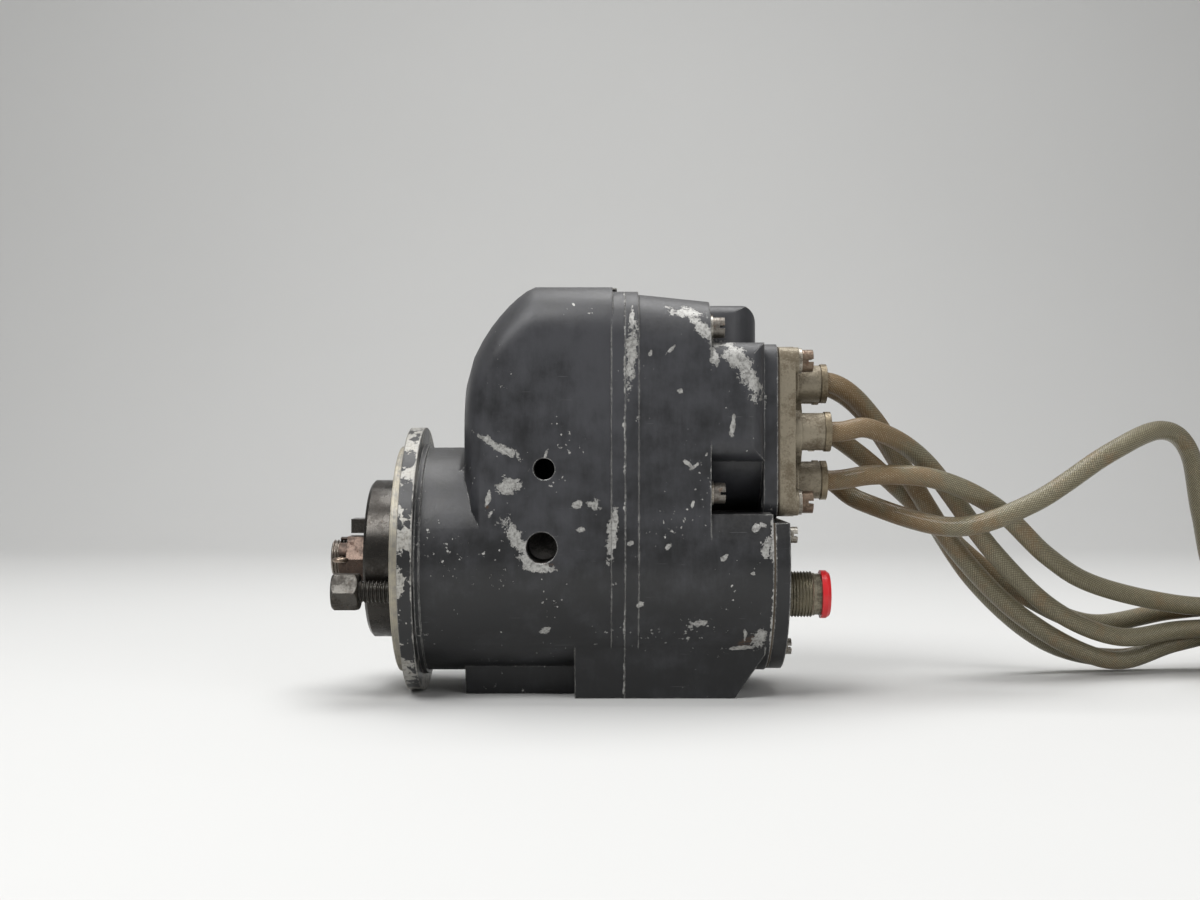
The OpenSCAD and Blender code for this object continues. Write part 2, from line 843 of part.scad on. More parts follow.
// Laminated bar through the coil, lying on the pole shoes
module coil_core() {
    core_len = 2 * (min(half_w - wall, cavity_r) - 1);
    color("slategray")
        translate([coil_x - core_w / 2, -core_len / 2, core_z - core_w / 2])
            cube([core_w, core_len, core_w]);
}

// High-tension winding with its end cheeks
module coil_winding() {
    color("saddlebrown")
        translate([coil_x, winding_len / 2, core_z])
            rotate([90, 0, 0])
                difference() {
                    union() {
                        cylinder(h = winding_len, d = winding_d - 3);
                        for (z = [0, winding_len - 3])
                            translate([0, 0, z])
                                cylinder(h = 3, d = winding_d);
                    }
                    translate([-core_w / 2 - SLIP, -core_w / 2 - SLIP, -1])
                        cube([core_w + 2 * SLIP, core_w + 2 * SLIP, winding_len + 2]);
                }
}

// Moulded block that carries the electrodes and the end of the distributor shaft
module distributor_block() {
    color("maroon")
    difference() {
        cyl_at(block_x, outlet_x - block_x - SLIP, block_r, [0, axis_z]);
        cyl_at(block_x - 1, 12, distributor_shaft_r + RUN, [0, axis_z]);
        for (i = [0:5]) {
            cyl_at(block_x - 1, 12, 2 + SLIP, tower_place(i));
            cyl_at(block_x + 10, outlet_x, lead_r + CLEAR, tower_place(i));
        }
    }
}

// Six electrodes in the block, one for each lead
module electrodes() {
    color("goldenrod")
        for (i = [0:5])
            cyl_at(electrode_x, block_x - electrode_x + 12, 2, tower_place(i));
}

// Base of the contact breaker
module breaker_plate() {
    color("silver")
        along_x(breaker_x, breaker_plate_t)
            difference() {
                intersection() {
                    circle(r = cavity_r - 8);
                    translate([-barrel_d, -barrel_d])
                        square([2 * barrel_d, barrel_d + opening_top_z - 0.5]);
                }
                circle(r = cam_room_r);
                for (place = cover_screw_places)
                    translate(place)
                        circle(r = cover_boss_r + CLEAR);
                for (side = [-1, 1])
                    translate([side * plate_screw_y, plate_screw_z])
                        circle(r = 1.6 + CLEAR);
                translate(arm_pivot)
                    circle(r = 2.5);
            }
}

// Screws of the breaker plate
module breaker_plate_screws() {
    color("gray")
        for (side = [-1, 1])
            slotted_screw(breaker_x + breaker_plate_t, [side * plate_screw_y, plate_screw_z], 1.6, breaker_plate_t + 4, 3, 1.6);
}

// Post on which the breaker arm turns
module breaker_pivot() {
    color("silver")
        cyl_at(breaker_x, breaker_plate_t + cam_w + 4, 2.5 - SLIP, arm_pivot);
}

// Bracket with the fixed contact above the free end of the arm
module fixed_contact() {
    color("goldenrod") {
        translate([breaker_x + breaker_plate_t, -28, arm_low_z + 8.4])
            cube([cam_w + 3, 9, 2]);
        cyl_z(cam_x + cam_w / 2, -23, arm_low_z + 7, 1.5, 2.2);
    }
}

// Upright cylinder
module cyl_z(x, y, z, h, r) {
    translate([x, y, z])
        cylinder(h = h, r = r);
}

// Capacitor across the contacts
module capacitor() {
    color("silver") {
        cyl_at(breaker_x + breaker_plate_t, 16, capacitor_d / 2, capacitor_place);
        cyl_at(breaker_x + breaker_plate_t + 15, 4, 2.2, capacitor_place);
    }
}

// Breaker arm with its bushed eye, rubbing block, moving contact and leaf spring
module breaker_arm() {
    color("peru")
    difference() {
        union() {
            cyl_at(cam_x, cam_w, 5, arm_pivot);
            translate([cam_x + 1, -27, arm_low_z])
                cube([cam_w - 2, 27 + arm_pivot[0], 4]);
            translate([cam_x + 1, -2.5, arm_low_z + 3])
                cube([cam_w - 2, 5, -arm_low_z - 3 - cam_lobe_r - CLEAR]);
            cyl_z(cam_x + cam_w / 2, -23, arm_low_z + 3.5, 3.3, 2.2);
            translate([cam_x + 2, -20, arm_low_z - 0.6])
                cube([cam_w - 4, 36, 0.8]);
        }
        cyl_at(cam_x - 1, cam_w + 2, 2.5 + RUN, arm_pivot);
    }
}

// Main shaft with its threaded drive end, bearing seats and cam seat
module rotor_shaft() {
    color("gray")
    difference() {
        union() {
            thread_x(shaft_end_x, nut_x - shaft_end_x + 0.5, thread_d / 2, 1.41);
            cyl_x(nut_x, coupling_t + washer_t + 0.6, thread_d / 2);
            cyl_x(-pilot_t - 0.6, rear_bearing[0] + pilot_t + 0.6, shaft_d / 2);
            cyl_x(rear_bearing[0] - 0.5, rear_bearing[3] + 1, rear_shaft_r);
            cyl_x(part_x, breaker_x - part_x - 1, pinion_seat_r);
            cyl_x(breaker_x - 2, cam_x + cam_w - breaker_x + 2, cam_seat_r);
        }
        cyl_x(cam_x + cam_w - 12, 13, 2.5 + SLIP);
        translate([cotter_x(), 0, 0])
            rotate([cotter_turn, 0, 0])
                cylinder(h = 3 * thread_d, r = 1.3 + SLIP, center = true);
        translate([coupling_x + 1, -2.4 - SLIP, thread_d / 2 - 2.2])
            cube([coupling_t - 2, 4.8 + 2 * SLIP, 6]);
    }
}

// Rotating magnet with its two poles
module rotor_magnet() {
    color("dimgray")
        along_x(magnet_x, magnet_len)
            difference() {
                circle(r = magnet_d / 2);
                circle(r = shaft_d / 2 + SLIP);
                for (side = [-1, 1])
                    translate([-magnet_d / 2, side > 0 ? magnet_d * 0.42 : -magnet_d * 0.42 - magnet_d])
                        square([magnet_d, magnet_d]);
            }
}

// Drive disc with two lugs on its face
module drive_coupling() {
    color("darkslategray")
    difference() {
        union() {
            translate([coupling_x, 0, 0])
                rotate([0, 90, 0])
                    rotate_extrude()
                        polygon([[thread_d / 2 + SLIP, 0], [coupling_d / 2 - 1.2, 0], [coupling_d / 2, 1.2],
                            [coupling_d / 2, coupling_t - 1.2], [coupling_d / 2 - 1.2, coupling_t],
                            [thread_d / 2 + SLIP, coupling_t]]);
            for (turn = [0, 180])
                rotate([turn, 0, 0])
                    translate([coupling_x - 9, -6, nut_af / 2 + 1.5])
                        cube([10, 12, 6]);
        }
        translate([coupling_x - 1, -2.4 - SLIP, 0])
            cube([coupling_t + 2, 4.8 + 2 * SLIP, thread_d / 2 + 2.5]);
    }
}

// Key between the shaft and the drive disc
module drive_key() {
    color("silver")
        translate([coupling_x + 1 + SLIP, -2.4, thread_d / 2 - 2.2 + SLIP])
            cube([coupling_t - 2 - 2 * SLIP, 4.8, 4.4]);
}

// Washer under the castle nut
module drive_washer() {
    color("gray")
        ring_x(nut_x, washer_t, nut_af / 2 + 1.2, thread_d / 2 + SLIP);
}

// Castle nut on the shaft end
module castle_nut() {
    color("rosybrown")
    difference() {
        union() {
            hex_x(nut_x - nut_h, nut_h, nut_af);
            cyl_x(nut_x - nut_h - crown_h, crown_h + 1, nut_af / 2 - 0.4);
        }
        cyl_x(nut_x - nut_h - crown_h - 1, nut_h + crown_h + 2, thread_d / 2 + SLIP);
        for (turn = [0:60:120])
            rotate([turn + cotter_turn, 0, 0])
                translate([nut_x - nut_h - crown_h - 1, -1.7, -nut_af])
                    cube([crown_h + 1, 3.4, 2 * nut_af]);
    }
}

cotter_turn = 90;
// Distance of the split pin along the shaft
function cotter_x() = nut_x - nut_h - crown_h + 1.6;

// Split pin through the nut slots and the shaft, with bent legs
module cotter_pin() {
    color("darkgoldenrod")
    translate([cotter_x(), 0, 0])
        rotate([cotter_turn, 0, 0]) {
            translate([0, 0, -nut_af / 2 - 2])
                cylinder(h = nut_af + 4, r = 1.25);
            translate([0, 0, nut_af / 2 + 3.6])
                rotate([90, 0, 0])
                    rotate_extrude()
                        translate([2.3, 0])
                            circle(r = 1);
            translate([0, 0, -nut_af / 2 - 1.6])
                rotate([0, -90, 0])
                    cylinder(h = 6, r = 1);
        }
}

// Half the angle of a tooth at radius r, from its flank curve
function spread(a) = tan(a) - a * PI / 180;
function tooth_half_angle(r, pitch_r) =
    (gear_half_tooth / pitch_r + spread(20) - spread(acos(min(1, pitch_r * cos(20) / r)))) * 180 / PI;

// Outline of a spur gear with curved flanks
module gear_shape(teeth, pitch_r, shift) {
    root_r = pitch_r - 1.25 * gear_m;
    tip_r = pitch_r + 0.9 * gear_m;
    steps = 3;
    polygon([for (i = [0:teeth - 1], side = [-1, 1], k = [0:steps])
        let (j = side < 0 ? k : steps - k,
            r = root_r + (tip_r - root_r) * j / steps,
            a = 90 + (i + shift) * 360 / teeth + side * tooth_half_angle(r, pitch_r))
        [r * cos(a), r * sin(a)]]);
}

// Small gear on the main shaft
module pinion_gear() {
    color("silver")
        along_x(gear_x, gear_w)
            difference() {
                rotate(180)
                    mirror([1, 0])
                        gear_shape(pinion_teeth, pinion_pitch_r, 0.5);
                circle(r = pinion_seat_r + SLIP);
            }
}

// Large distributor gear with a thinned web
module distributor_gear() {
    color("burlywood")
    translate([0, 0, axis_z])
        difference() {
            along_x(gear_x, gear_w)
                gear_shape(wheel_teeth, wheel_pitch_r, 0);
            cyl_x(gear_x - 1, gear_w + 2, distributor_shaft_r + SLIP);
            ring_x(gear_x - 1, 4, wheel_pitch_r - 6, 12);
            ring_x(gear_x + gear_w - 3, 4, wheel_pitch_r - 6, 12);
        }
}

// Shaft of the distributor gear and finger
module distributor_shaft() {
    color("silver")
        cyl_at(plate_front_x + 1, block_x - plate_front_x + 9, distributor_shaft_r, [0, axis_z]);
}

// Moulded finger with the electrode that passes the six posts
module rotor_finger() {
    color("maroon")
    translate([0, 0, axis_z])
        rotate([90, 0, 0])
            difference() {
                union() {
                    cyl_x(finger_x, finger_l - 3, 9);
                    translate([finger_x, -4.5, 0])
                        cube([finger_l - 4, 9, tower_circle_r + 4]);
                    translate([finger_x + 2, -2.5, tower_circle_r - 3])
                        cube([finger_l - 2, 5, 6]);
                }
                cyl_x(finger_x - 1, finger_l + 2, distributor_shaft_r + SLIP);
            }
}

// Nut-and-drive screw that holds the cam on the shaft
module cam_screw() {
    color("gray")
    difference() {
        union() {
            cyl_x(cam_x + cam_w - 11, 11.5, 2.5);
            cyl_x(cam_x + cam_w, 2.6, cam_seat_r + 1);
        }
        translate([cam_x + cam_w + 1.4, -10, -0.6])
            cube([3, 20, 1.2]);
    }
}

// Two-lobed cam on the end of the shaft
module cam() {
    color("silver")
    difference() {
        hull()
            for (side = [-1, 1])
                cyl_at(cam_x, cam_w, cam_round_r, [side * (cam_lobe_r - cam_round_r), 0]);
        cyl_x(cam_x - 1, cam_w + 2, cam_seat_r + SLIP);
    }
}

// Smooth curve through a list of points, at a share t of its length in points
function path_point(path, t) =
    let (n = len(path) - 1,
        i = min(floor(t * n), n - 1),
        u = t * n - i,
        a = path[max(i - 1, 0)],
        b = path[i],
        c = path[i + 1],
        d = path[min(i + 2, n)])
    b + 0.5 * u * ((c - a) + u * ((2 * a - 5 * b + 4 * c - d) + u * (3 * (b - c) + d - a)));

function unit(v) = v / norm(v);

// Braided lead swept along a smooth curve
module lead(path) {
    sides = 10;
    rings = 13;
    curve = [for (i = [1:len(path) - 1]) path[i]];
    centres = concat([path[0]], [for (i = [0:rings - 2]) path_point(curve, i / (rings - 2))]);
    points = [for (i = [0:rings - 1], k = [0:sides - 1])
        let (along = unit(centres[min(i + 1, rings - 1)] - centres[max(i - 1, 0)]),
            across = unit(cross(along, [0, 1, 0])),
            up = cross(across, along))
        centres[i] + lead_r * (cos(360 * k / sides) * across + sin(360 * k / sides) * up)];
    faces = concat([[for (k = [0:sides - 1]) k]],
        [[for (k = [sides - 1:-1:0]) (rings - 1) * sides + k]],
        [for (i = [0:rings - 2], k = [0:sides - 1])
            let (a = i * sides + k, b = i * sides + (k + 1) % sides)
            [a, a + sides, b + sides, b]]);
    color("olive")
        polyhedron(points, faces);
}

module lead_1() { lead(lead_paths[0]); }
module lead_2() { lead(lead_paths[1]); }
module lead_3() { lead(lead_paths[2]); }
module lead_4() { lead(lead_paths[3]); }
module lead_5() { lead(lead_paths[4]); }
module lead_6() { lead(lead_paths[5]); }

// Rest of the six leads, wound into one ring on the table
module harness_coil() {
    color("olive")
        translate([coil_place[0], coil_place[1], foot_z])
            rotate_extrude()
                translate([coil_r - lead_r, 0])
                    square([coil_w, coil_h]);
}

// Straps round the coil
module harness_ties() {
    inner = coil_r - lead_r - CLEAR;
    color("black")
        translate([coil_place[0], coil_place[1], foot_z])
            for (angle = [90, 200, 300])
                rotate(angle)
                    translate([inner - tie_t, -2.5, 0])
                        difference() {
                            cube([coil_w + 2 * (CLEAR + tie_t), 5, coil_h + CLEAR + tie_t]);
                            translate([tie_t, -1, -1])
                                cube([coil_w + 2 * CLEAR, 7, coil_h + CLEAR + 1]);
                        }
}

// Frame of lead end i, with X along the lead where it leaves the side of the coil
module at_tail(i) {
    translate([coil_place[0], coil_place[1], foot_z + plug_af / 2])
        rotate(tail_angles[i])
            translate([coil_out_r - 2, 0, 0])
                rotate(tail_turn)
                    children();
}

// Short ends of the leads between the coil and their terminals
module lead_tails() {
    color("olive")
        for (i = [0:5])
            at_tail(i)
                cyl_x(0, tail_l, lead_r);
}

// Hexagonal coupling nuts of the lead ends
module plug_nuts() {
    color("silver")
        for (i = [0:5])
            at_tail(i)
                difference() {
                    hex_x(tail_l - 2, 13, plug_af);
                    cyl_x(tail_l - 4, 20, lead_r + 1.6);
                }
}

// Ferrules inside the coupling nuts
module plug_ferrules() {
    color("goldenrod")
        for (i = [0:5])
            at_tail(i)
                ring_x(tail_l - 8, 14, lead_r + 1.6 - SLIP, lead_r + SLIP);
}

// Insulating sleeves in front of the coupling nuts
module plug_sleeves() {
    color("ivory")
        for (i = [0:5])
            at_tail(i)
                ring_x(tail_l + SLIP, 26, lead_r, 1.5);
}

// Spring contacts at the tips of the sleeves
module plug_contacts() {
    color("goldenrod")
        for (i = [0:5])
            at_tail(i)
                cyl_x(tail_l + 14, 15, 1.5 - SLIP);
}

drive_end_housing();
distributor_housing();
data_plate();
case_screws();
case_washers();
outlet_plate();
outlet_gasket();
outlet_screws();
outlet_washers();
lead_ferrules();
breaker_cover();
breaker_cover_gasket();
breaker_cover_screws();
primary_receptacle();
dust_cap();
stop_bolt();
oil_seal();
bearing_outer_races();
bearing_plate();
bearing_plate_screws();
pole_shoes();
coil_core();
coil_winding();
distributor_block();
electrodes();
breaker_plate();
breaker_plate_screws();
breaker_pivot();
fixed_contact();
capacitor();
rotor_shaft();
rotor_magnet();
bearing_inner_races();
bearing_balls();
drive_coupling();
drive_key();
drive_washer();
castle_nut();
cotter_pin();
pinion_gear();
cam();
cam_screw();
distributor_gear();
distributor_shaft();
rotor_finger();
breaker_arm();
lead_1();
lead_2();
lead_3();
lead_4();
lead_5();
lead_6();
harness_coil();
harness_ties();
lead_tails();
plug_nuts();
plug_ferrules();
plug_sleeves();
plug_contacts();
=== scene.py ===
"""Dress the aircraft magneto: chipped black castings, bare fittings, braided leads and a small studio.

Everything stands in the shared frame in metres. Sizes are written in millimetres and scaled by MM.
"""

import functools
import logging
import math
from collections.abc import Callable, Iterable, Sequence
from dataclasses import dataclass
from enum import Enum

import bpy
from mathutils import Matrix, Vector


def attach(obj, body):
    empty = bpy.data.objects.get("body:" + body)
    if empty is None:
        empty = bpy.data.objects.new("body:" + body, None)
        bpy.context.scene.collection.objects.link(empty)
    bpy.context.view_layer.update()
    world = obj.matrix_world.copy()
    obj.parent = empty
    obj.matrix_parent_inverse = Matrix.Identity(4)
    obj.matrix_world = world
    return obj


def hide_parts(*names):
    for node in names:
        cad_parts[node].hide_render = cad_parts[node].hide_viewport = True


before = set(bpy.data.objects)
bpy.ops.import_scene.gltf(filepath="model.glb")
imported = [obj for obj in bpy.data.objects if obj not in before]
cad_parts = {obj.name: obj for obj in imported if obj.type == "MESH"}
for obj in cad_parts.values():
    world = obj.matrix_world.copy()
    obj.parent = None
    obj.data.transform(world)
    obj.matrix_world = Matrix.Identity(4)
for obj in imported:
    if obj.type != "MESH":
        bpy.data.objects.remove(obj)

log = logging.getLogger("magneto")
MM = 0.001
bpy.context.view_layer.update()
WELD = 0.005
CURVE_PARTS = 24

Colour = tuple[float, float, float]
Point = tuple[float, float, float]


class Sock:
    """A socket of a node tree, with operators that add Math nodes for values."""

    def __init__(self, graph: "Graph", socket: bpy.types.NodeSocket) -> None:
        """Keep the socket and the graph that it belongs to."""
        self.graph = graph
        self.socket = socket

    def maths(self, operation: str, *values: "Sock | float") -> "Sock":
        """Add a Math node.

        Args:
            operation: The operation of the node.
            values: Its inputs in order.

        Returns:
            The result of the node.
        """
        return self.graph.node("ShaderNodeMath", {"operation": operation}, dict(enumerate(values)))

    def __add__(self, other: "Sock | float") -> "Sock":
        """Sum of two values."""
        return self.maths("ADD", self, other)

    def __radd__(self, other: float) -> "Sock":
        """Sum with a number on the left."""
        return self.maths("ADD", other, self)

    def __sub__(self, other: "Sock | float") -> "Sock":
        """Difference of two values."""
        return self.maths("SUBTRACT", self, other)

    def __rsub__(self, other: float) -> "Sock":
        """Difference with a number on the left."""
        return self.maths("SUBTRACT", other, self)

    def __mul__(self, other: "Sock | float") -> "Sock":
        """Product of two values."""
        return self.maths("MULTIPLY", self, other)

    def __rmul__(self, other: float) -> "Sock":
        """Product with a number on the left."""
        return self.maths("MULTIPLY", other, self)

    def __pow__(self, other: float) -> "Sock":
        """Power of a value."""
        return self.maths("POWER", self, other)

    def __abs__(self) -> "Sock":
        """Size of a value without its sign."""
        return self.maths("ABSOLUTE", self)

    def at_most(self, other: "Sock | float") -> "Sock":
        """Lesser of two values."""
        return self.maths("MINIMUM", self, other)

    def at_least(self, other: "Sock | float") -> "Sock":
        """Greater of two values."""
        return self.maths("MAXIMUM", self, other)

    def sine(self) -> "Sock":
        """Sine of a value in radians."""
        return self.maths("SINE", self)

    def fraction(self) -> "Sock":
        """Part of a value after its whole number."""
        return self.maths("FRACT", self)

    def rise(self, low: float, high: float) -> "Sock":
        """Smooth step between two limits.

        Args:
            low: The value that gives 0.
            high: The value that gives 1.

        Returns:
            The step.
        """
        settings = {"interpolation_type": "SMOOTHSTEP"}
        return self.graph.node("ShaderNodeMapRange", settings, {0: self, 1: low, 2: high, 3: 0.0, 4: 1.0})


class Graph:
    """A node tree that is filled by short calls."""

    def __init__(self, tree: bpy.types.NodeTree) -> None:
        """Empty the tree."""
        self.tree = tree
        self.tree.nodes.clear()

    def node(self, kind: str, settings: dict | None = None, inputs: dict | None = None,
             out: int | str = 0) -> Sock:
        """Add any node.

        Args:
            kind: The type name of the node.
            settings: Its properties, set first.
            inputs: Values or links by socket name or number.
            out: The output to return.

        Returns:
            The chosen output.
        """
        new = self.tree.nodes.new(kind)
        for name, value in (settings or {}).items():
            setattr(new, name, value)
        for key, value in (inputs or {}).items():
            if isinstance(value, Sock):
                self.tree.links.new(value.socket, new.inputs[key])
            else:
                new.inputs[key].default_value = value
        return Sock(self, new.outputs[out])

    def place(self) -> Sock:
        """Place on the piece in millimetres."""
        spot = self.node("ShaderNodeTexCoord", out="Object")
        return self.vector("SCALE", spot, scale=1 / MM)

    def vector(self, operation: str, first: Sock, second: Sock | Sequence[float] = (0.0, 0.0, 0.0),
               scale: float = 1.0, out: int = 0) -> Sock:
        """Add a Vector Math node.

        Args:
            operation: The operation of the node.
            first: The first vector.
            second: The second vector.
            scale: The factor of a SCALE.
            out: Output 0 for a vector and 1 for a value.

        Returns:
            The chosen output.
        """
        inputs = {0: first, 1: second, 3: scale}
        return self.node("ShaderNodeVectorMath", {"operation": operation}, inputs, out)

    def parts(self, vector: Sock) -> tuple[Sock, Sock, Sock]:
        """Take a vector apart.

        Args:
            vector: The vector.

        Returns:
            Its X, Y and Z.
        """
        first = self.node("ShaderNodeSeparateXYZ", inputs={0: vector})
        x, y, z = first.socket.node.outputs
        return Sock(self, x), Sock(self, y), Sock(self, z)

    def joined(self, x: Sock, y: Sock) -> Sock:
        """Vector made of two values."""
        return self.node("ShaderNodeCombineXYZ", inputs={0: x, 1: y})

    def noise(self, vector: Sock, scale: float, detail: float = 4.0, roughness: float = 0.55) -> Sock:
        """Add cloudy noise.

        Args:
            vector: Where to read the noise.
            scale: Its clouds to the millimetre.
            detail: How many finer layers it has.
            roughness: How strong the finer layers are.

        Returns:
            Values about 0.5, from 0 to 1.
        """
        inputs = {"Vector": vector, "Scale": scale, "Detail": detail, "Roughness": roughness}
        return self.node("ShaderNodeTexNoise", inputs=inputs)

    def blend(self, factor: Sock, first: Sock | Colour, second: Sock | Colour) -> Sock:
        """Mix two colours.

        Args:
            factor: The share of the second colour.
            first: The first colour.
            second: The second colour.

        Returns:
            The mixed colour.
        """
        ends = [end if isinstance(end, Sock) else (*end, 1.0) for end in (first, second)]
        settings = {"data_type": "RGBA", "clamp_factor": True}
        return self.node("ShaderNodeMix", settings, {0: factor, 6: ends[0], 7: ends[1]}, out=2)

    def soft_normal(self, radius: float) -> Sock:
        """Normal with the edges rounded to a radius in millimetres."""
        return self.node("ShaderNodeBevel", {"samples": 6}, {"Radius": radius * MM})

    def edge(self, soft: Sock) -> Sock:
        """How far a rounded normal turns away from the true one, 0 on flat faces."""
        true = self.node("ShaderNodeNewGeometry", out="Normal")
        return 1.0 - self.vector("DOT_PRODUCT", soft, true, out=1)

    def facing_up(self) -> Sock:
        """1 on level faces and 0 on upright ones."""
        return self.parts(self.node("ShaderNodeNewGeometry", out="Normal"))[2].at_least(0.0)

    def bump(self, height: Sock, normal: Sock) -> Sock:
        """Normal of a surface with a height in millimetres."""
        inputs = {"Strength": 1.0, "Distance": MM, "Height": height, "Normal": normal}
        return self.node("ShaderNodeBump", inputs=inputs)

    def surface(self, **sockets: Sock | float) -> None:
        """End the material in one Principled surface.

        Args:
            sockets: Values or links by the name of the socket, with underscores for spaces.
        """
        inputs = {name.replace("_", " ").title(): value for name, value in sockets.items()}
        shader = self.node("ShaderNodeBsdfPrincipled", inputs=inputs)
        self.end("ShaderNodeOutputMaterial", shader)

    def end(self, kind: str, result: Sock, socket: int | str = "Surface") -> None:
        """Link the result of the graph to an output node.

        Args:
            kind: The type name of the output node.
            result: What it shows.
            socket: Its input.
        """
        last = self.tree.nodes.new(kind)
        self.tree.links.new(result.socket, last.inputs[socket])


def new_material(name: str) -> tuple[bpy.types.Material, Graph]:
    """Make an empty material.

    Args:
        name: The name of the material.

    Returns:
        The material and its graph.
    """
    material = bpy.data.materials.new(name)
    material.use_nodes = True
    return material, Graph(material.node_tree)


class Grain(Enum):
    """How a metal surface was made."""

    TURNED = "turned"
    CAST = "cast"
    ROLLED = "rolled"
    LAMINATED = "laminated"


@dataclass(frozen=True)
class ChipPatch:
    """One patch on the near side of the castings, in millimetres, its long axis tilted by degrees."""

    x: float
    z: float
    length: float
    width: float
    tilt: float = 0.0

    def reach(self, graph: Graph, at: Sock) -> Sock:
        """Measure from the middle of the patch.

        Args:
            graph: The material's graph.
            at: Place in millimetres.

        Returns:
            Square of the distance, 1 on the patch's outline.
        """
        turn = math.radians(self.tilt)
        along = (math.cos(turn) / self.length, 0.0, math.sin(turn) / self.length)
        across = (-math.sin(turn) / self.width, 0.0, math.cos(turn) / self.width)
        offset = graph.vector("SUBTRACT", at, (self.x, 0.0, self.z))
        u = graph.vector("DOT_PRODUCT", offset, along, out=1)
        v = graph.vector("DOT_PRODUCT", offset, across, out=1)
        return u * u + v * v


def patch_table(rows: Iterable[tuple[float, ...]]) -> tuple[ChipPatch, ...]:
    """Patches from rows of numbers."""
    return tuple(ChipPatch(*row) for row in rows)


class PaintSpot:
    """What the masks of the paint share: a place in millimetres, noises and the soft normal there."""

    def __init__(self, graph: Graph) -> None:
        """Read the spot.

        Args:
            graph: The material's graph.
        """
        self.graph = graph
        self.at = graph.place()
        self.x, self.y, self.z = graph.parts(self.at)
        self.radius = (self.y * self.y + self.z * self.z) ** 0.5
        self.broad = graph.noise(self.at, 0.022, 3.0)
        self.flakes = graph.noise(self.at, 0.085, 6.0, 0.62)
        self.ragged = graph.noise(self.at, 0.20, 6.0, 0.68)
        self.fine = graph.noise(self.at, 0.85, 4.0, 0.6)
        self.soft = graph.soft_normal(1.1)


